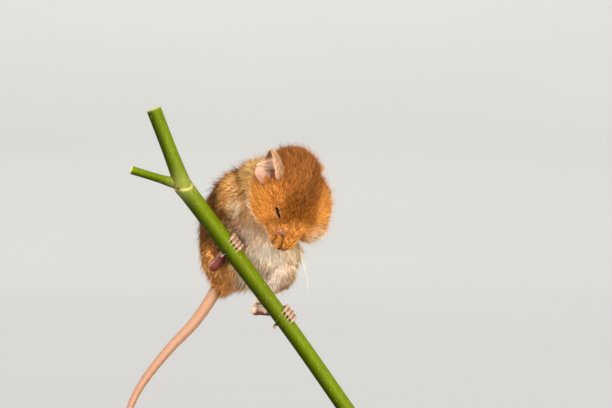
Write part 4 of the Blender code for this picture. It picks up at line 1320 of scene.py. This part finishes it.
class Look:
    """A procedural material built from a few kinds of nodes."""

    def __init__(self, name, roughness, **sockets):
        self.material = bpy.data.materials.new(name)
        self.material.use_nodes = True
        self.tree = self.material.node_tree
        self.shader = self.tree.nodes["Principled BSDF"]
        named = {key.replace("_", " "): value for key, value in sockets.items()}
        self.feed(self.shader, {"Roughness": roughness, **named})
        self.place = self.node("ShaderNodeTexCoord", "Object", {})

    def feed(self, node, inputs):
        """Gives each input a value or the output of another node."""
        for key, value in inputs.items():
            if isinstance(value, bpy.types.NodeSocket):
                self.tree.links.new(value, node.inputs[key])
            else:
                node.inputs[key].default_value = value

    def node(self, kind, output, inputs, **settings):
        made = self.tree.nodes.new(kind)
        for key, value in settings.items():
            setattr(made, key, value)
        self.feed(made, inputs)
        return made.outputs[output]

    def stretched(self, turn, scale):
        """Coordinates turned and stretched, for grain that runs one way."""
        inputs = {"Rotation": turn, "Scale": scale, "Vector": self.place}
        return self.node("ShaderNodeMapping", "Vector", inputs)

    def noise(self, size, detail, place=None, roughness=0.55):
        """Noise whose features are about size millimetres across."""
        return self.node("ShaderNodeTexNoise", "Fac", {
            "Scale": 1.0 / (size * MM), "Detail": detail, "Roughness": roughness,
            "Vector": place or self.place,
        })

    def ramp(self, source, stops):
        """A colour or grey ramp from (position, colour) stops."""
        made = self.tree.nodes.new("ShaderNodeValToRGB")
        elements = made.color_ramp.elements
        while len(elements) < len(stops):
            elements.new(0.5)
        for element, (position, shade) in zip(elements, stops):
            element.position = position
            shade = (shade,) * 3 if isinstance(shade, (int, float)) else tuple(shade)
            element.color = (*shade, 1.0)
        self.feed(made, {"Fac": source})
        return made.outputs["Color"]

    def mixed(self, kind, share, a, b):
        """Two colours blended; share, a and b are sockets or values."""
        a, b = (value if isinstance(value, bpy.types.NodeSocket) else (*value, 1.0) for value in (a, b))
        return self.node("ShaderNodeMix", 2, {0: share, 6: a, 7: b}, data_type="RGBA", blend_type=kind)

    def stored(self, dark=True):
        """The stored colour, darkened where asked to suit the strong lamps."""
        tint = self.node("ShaderNodeAttribute", "Color", {}, attribute_name="tint")
        return self.mixed("MULTIPLY", 1.0, tint, (PAINT,) * 3) if dark else tint

    def specked(self, base, share, size, detail, low, high, place=None):
        """A colour under noise of two brightnesses."""
        specks = self.ramp(self.noise(size, detail, place), ((0.3, low), (0.7, high)))
        return self.mixed("MULTIPLY", share, base, specks)

    def finished(self, base, rough=None, bump=None, place=None):
        """Sets the colour, rough as (size, detail, low, high) and bump as (size, detail, height)."""
        self.feed(self.shader, {"Base Color": base})
        if rough:
            size, detail, low, high = rough
            spread = self.ramp(self.noise(size, detail, place), ((0.3, low), (0.7, high)))
            self.feed(self.shader, {"Roughness": spread})
        if bump:
            size, detail, height = bump
            relief = {"Distance": height * MM, "Height": self.noise(size, detail, place)}
            self.feed(self.shader, {"Normal": self.node("ShaderNodeBump", "Normal", relief)})
        return self.material


CLAW_TINTS = (0.3, colour(150, 128, 106)), (0.7, colour(190, 172, 152))
EYE_TINTS = (0.3, (0.004, 0.003, 0.003)), (0.7, (0.012, 0.007, 0.005))
WHISKER_TINTS = (0.3, colour(196, 176, 132)), (0.7, colour(240, 230, 200))
BARK_PALE, BARK_BROWN = colour(206, 214, 130), colour(120, 98, 40)
WOOD_TINTS = (0.3, colour(58, 36, 24)), (0.5, colour(92, 60, 38)), (0.7, colour(70, 44, 28))
STEEL_TINTS = (0.3, (0.5, 0.5, 0.49)), (0.7, (0.66, 0.66, 0.65))
FLOOR_TINTS = (0.0, (0.36, 0.36, 0.35)), (0.12, (0.29, 0.29, 0.285))


def coat_look():
    look = Look("fur", 0.62, Specular_IOR_Level=0.12)
    base = look.specked(look.stored(False), 0.8, 0.35, 3.0, 0.82, 1.12)
    return look.finished(base, (0.8, 2.0, 0.55, 0.72))


def skin_look():
    look = Look("skin", 0.6, Subsurface_Weight=0.1, Subsurface_Scale=0.0004, Specular_IOR_Level=0.2)
    base = look.specked(look.stored(), 0.8, 0.25, 5.0, 0.8, 1.12)
    return look.finished(base, (0.5, 3.0, 0.45, 0.68), (0.16, 6.0, 0.06))


def ear_look():
    look = Look("ear_skin", 0.55, Subsurface_Weight=0.25, Subsurface_Scale=0.0006, Sheen_Weight=0.15)
    veins = look.ramp(look.noise(1.1, 6.0, roughness=0.7), ((0.46, 1.0), (0.5, 0.72), (0.54, 1.0)))
    base = look.mixed("MULTIPLY", 0.6, look.specked(look.stored(), 0.7, 0.2, 4.0, 0.88, 1.08), veins)
    return look.finished(base, (0.4, 3.0, 0.45, 0.65), (0.14, 6.0, 0.04))


def tail_look():
    look = Look("tail_skin", 0.5, Subsurface_Weight=0.12, Subsurface_Scale=0.0004)
    base = look.specked(look.stored(), 0.7, 0.3, 5.0, 0.82, 1.1)
    return look.finished(base, (0.4, 3.0, 0.4, 0.6), (0.12, 5.0, 0.03))


def claw_look():
    look = Look("claw", 0.3, Subsurface_Weight=0.3, Subsurface_Scale=0.0003)
    return look.finished(look.ramp(look.noise(0.4, 3.0), CLAW_TINTS), (0.2, 2.0, 0.22, 0.38))


def eye_look():
    look = Look("eye_wet", 0.15, Specular_IOR_Level=0.2)
    return look.finished(look.ramp(look.noise(0.8, 3.0), EYE_TINTS), (0.5, 2.0, 0.04, 0.08))


def whisker_look():
    look = Look("whisker", 0.4)
    return look.finished(look.ramp(look.noise(2.0, 2.0), WHISKER_TINTS))


def stem_look():
    """Green bark with streaks along the stem, pale specks and a few brown spots."""
    look = Look("bark_green", 0.42, Specular_IOR_Level=0.04)
    grain = look.stretched((0.0, -STEM_SLOPE, 0.0), (1.0, 1.0, 0.07))
    green = look.specked(look.stored(), 0.8, 0.35, 5.0, 0.78, 1.14, grain)
    green = look.specked(green, 0.9, 3.0, 3.0, 0.86, 1.1, grain)
    pale = look.ramp(look.noise(0.42, 2.0), ((0.70, 0.0), (0.78, 0.6)))
    green = look.mixed("MIX", pale, green, BARK_PALE)
    turned = look.stretched((0.3, 0.2, 0.9), (1.0, 1.0, 1.0))
    brown = look.ramp(look.noise(0.55, 2.0, turned), ((0.71, 0.0), (0.76, 1.0)))
    bark = look.mixed("MIX", brown, green, BARK_BROWN)
    return look.finished(bark, (0.9, 4.0, 0.3, 0.5), (0.22, 5.0, 0.05), grain)


def wood_look():
    look = Look("stained_wood", 0.5, Coat_Weight=0.3, Coat_Roughness=0.2)
    grain = look.stretched((0.0, 0.0, 0.06), (0.06, 1.0, 1.0))
    wood = look.ramp(look.noise(2.4, 6.0, grain, 0.65), WOOD_TINTS)
    pores = look.ramp(look.noise(0.3, 3.0, grain), ((0.35, 0.7), (0.6, 1.05)))
    base = look.mixed("MULTIPLY", 0.7, wood, pores)
    return look.finished(base, (1.5, 4.0, 0.35, 0.55), (0.3, 4.0, 0.04), grain)


def steel_look():
    look = Look("brushed_rod", 0.3, Metallic=1.0)
    grain = look.stretched((0.0, 0.0, 0.0), (1.0, 1.0, 0.03))
    steel = look.ramp(look.noise(0.2, 3.0, grain), STEEL_TINTS)
    return look.finished(steel, (0.12, 3.0, 0.24, 0.4), (0.1, 2.0, 0.01), grain)


def floor_look():
    look = Look("pale_floor", 0.85)
    height = look.node("ShaderNodeSeparateXYZ", "Z", {"Vector": look.place})
    return look.finished(look.specked(look.ramp(height, FLOOR_TINTS), 1.0, 400.0, 2.0, 0.98, 1.02))


def give(obj, look):
    obj.data.materials.clear()
    obj.data.materials.append(look)


# Everything in place

skin, claws = build_skin()
places, normals, triangles = arrays(skin)
fields = skin_fields(places, normals)
set_tint(skin, fields["skin_tint"])
coat = grow_coat(places, normals, triangles, fields)
ear_right = build_ear("ear_cup_right", *RIGHT_EAR, 1)
ear_left = build_ear("ear_cup_left", *LEFT_EAR, -1)
tail = build_tail()
tail_hairs = build_tail_hairs()
ear_hairs = build_ear_hairs((ear_right, ear_left))
whiskers = build_whiskers()
bark = build_stem()
eyes = []
for side, name in ((1, "eyeball_right"), (-1, "eyeball_left")):
    centre = head_point((EYE_FORWARD, 0, 0)) + eye_axes(side)[2] * EYE_DEPTH
    eyes.append(add_object(name, *ball_arrays(centre, (EYE_RADIUS,) * 3, detail=5)))

for look, pieces in (
    (coat_look(), (*coat, tail_hairs, ear_hairs)), (ear_look(), (ear_right, ear_left)),
    (skin_look(), (skin,)), (claw_look(), (claws,)), (tail_look(), (tail,)), (whisker_look(), (whiskers,)),
    (stem_look(), (bark,)), (eye_look(), eyes), (wood_look(), (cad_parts["stand_base"],)),
    (steel_look(), (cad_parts["stand_rod"],)),
):
    for piece in pieces:
        give(piece, look)


FLESH = ("head",) + BODY_NODES + ("forefoot_right", "forefoot_left", "hindfoot_right", "hindfoot_left")
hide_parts(*FLESH)
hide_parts("ear_right")
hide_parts("ear_left")
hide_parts("eye_right")
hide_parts("eye_left")
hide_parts("tail_1", "tail_2", "tail_3", "tail_4")
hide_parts("stem")
for pieces, slot in (
    ([skin, *coat, tail_hairs, ear_hairs, whiskers], "coat"), ([claws, ear_right, ear_left, tail], "bare_skin"),
    (eyes, "eye"), ([bark], "stem"),
):
    for piece in pieces:
        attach(piece, "root")


# Stage, light and camera


FLOOR_FLAT, FLOOR_SLOPE, FLOOR_RISE = 1200.0, 1400.0, 300.0
FLOOR_RINGS, FLOOR_SIDES = 12, 96


def build_stage():
    """A pale floor that rises slowly all round, too low to shade the lamps."""
    verts = []
    for ring in range(FLOOR_RINGS + 1):
        share = ring / FLOOR_RINGS
        radius, height = FLOOR_FLAT + FLOOR_SLOPE * share, FLOOR_RISE * share**2
        for k in range(FLOOR_SIDES):
            angle = 2.0 * math.pi * k / FLOOR_SIDES
            verts.append((radius * math.cos(angle), radius * math.sin(angle), height))
    faces = [face[::-1] for face in grid_faces(FLOOR_RINGS, FLOOR_SIDES)]
    faces += [(len(verts), k, (k + 1) % FLOOR_SIDES) for k in range(FLOOR_SIDES)]
    floor = add_object("floor", verts + [(0.0, 0.0, 0.0)], faces)
    give(floor, floor_look())


def add_sun(name, source, spread, strength, tint):
    """A soft light from far away, shining from the direction of source."""
    data = bpy.data.lights.new(name, "SUN")
    data.angle = math.radians(spread)
    data.energy = strength
    data.color = tint
    add_data(name, data).rotation_euler = Vector(source).to_track_quat("Z", "Y").to_euler()


build_stage()
add_sun("key", (0.45, -0.9, 0.24), 12.0, 4.6, (1.0, 0.95, 0.88))
add_sun("fill", (-0.6, -0.85, 0.16), 16.0, 3.6, (1.0, 0.95, 0.89))

world = bpy.data.worlds.new("studio")
world.use_nodes = True
background = world.node_tree.nodes["Background"]
background.inputs["Color"].default_value = (1.0, 1.0, 1.0, 1.0)
background.inputs["Strength"].default_value = 1.25
bpy.context.scene.world = world
bpy.context.scene.view_settings.view_transform = "Standard"

# The camera looks level along the depth, and its picture is this wide in metres at the stem
FRAME_WIDTH = 122.4 * MM
DISTANCE, CAMERA_X, CAMERA_Z = 0.6, 0.0102, 0.0633
SENSOR = 36.0
camera_data = bpy.data.cameras.new("camera")
camera_data.sensor_width = SENSOR
camera_data.lens = SENSOR * DISTANCE / FRAME_WIDTH
camera_data.clip_start = 0.01
camera_data.clip_end = 20.0
camera = add_data("camera", camera_data)
camera.location = (CAMERA_X, -DISTANCE, CAMERA_Z)
camera.rotation_euler = (math.pi / 2, 0.0, 0.0)
bpy.context.scene.camera = camera
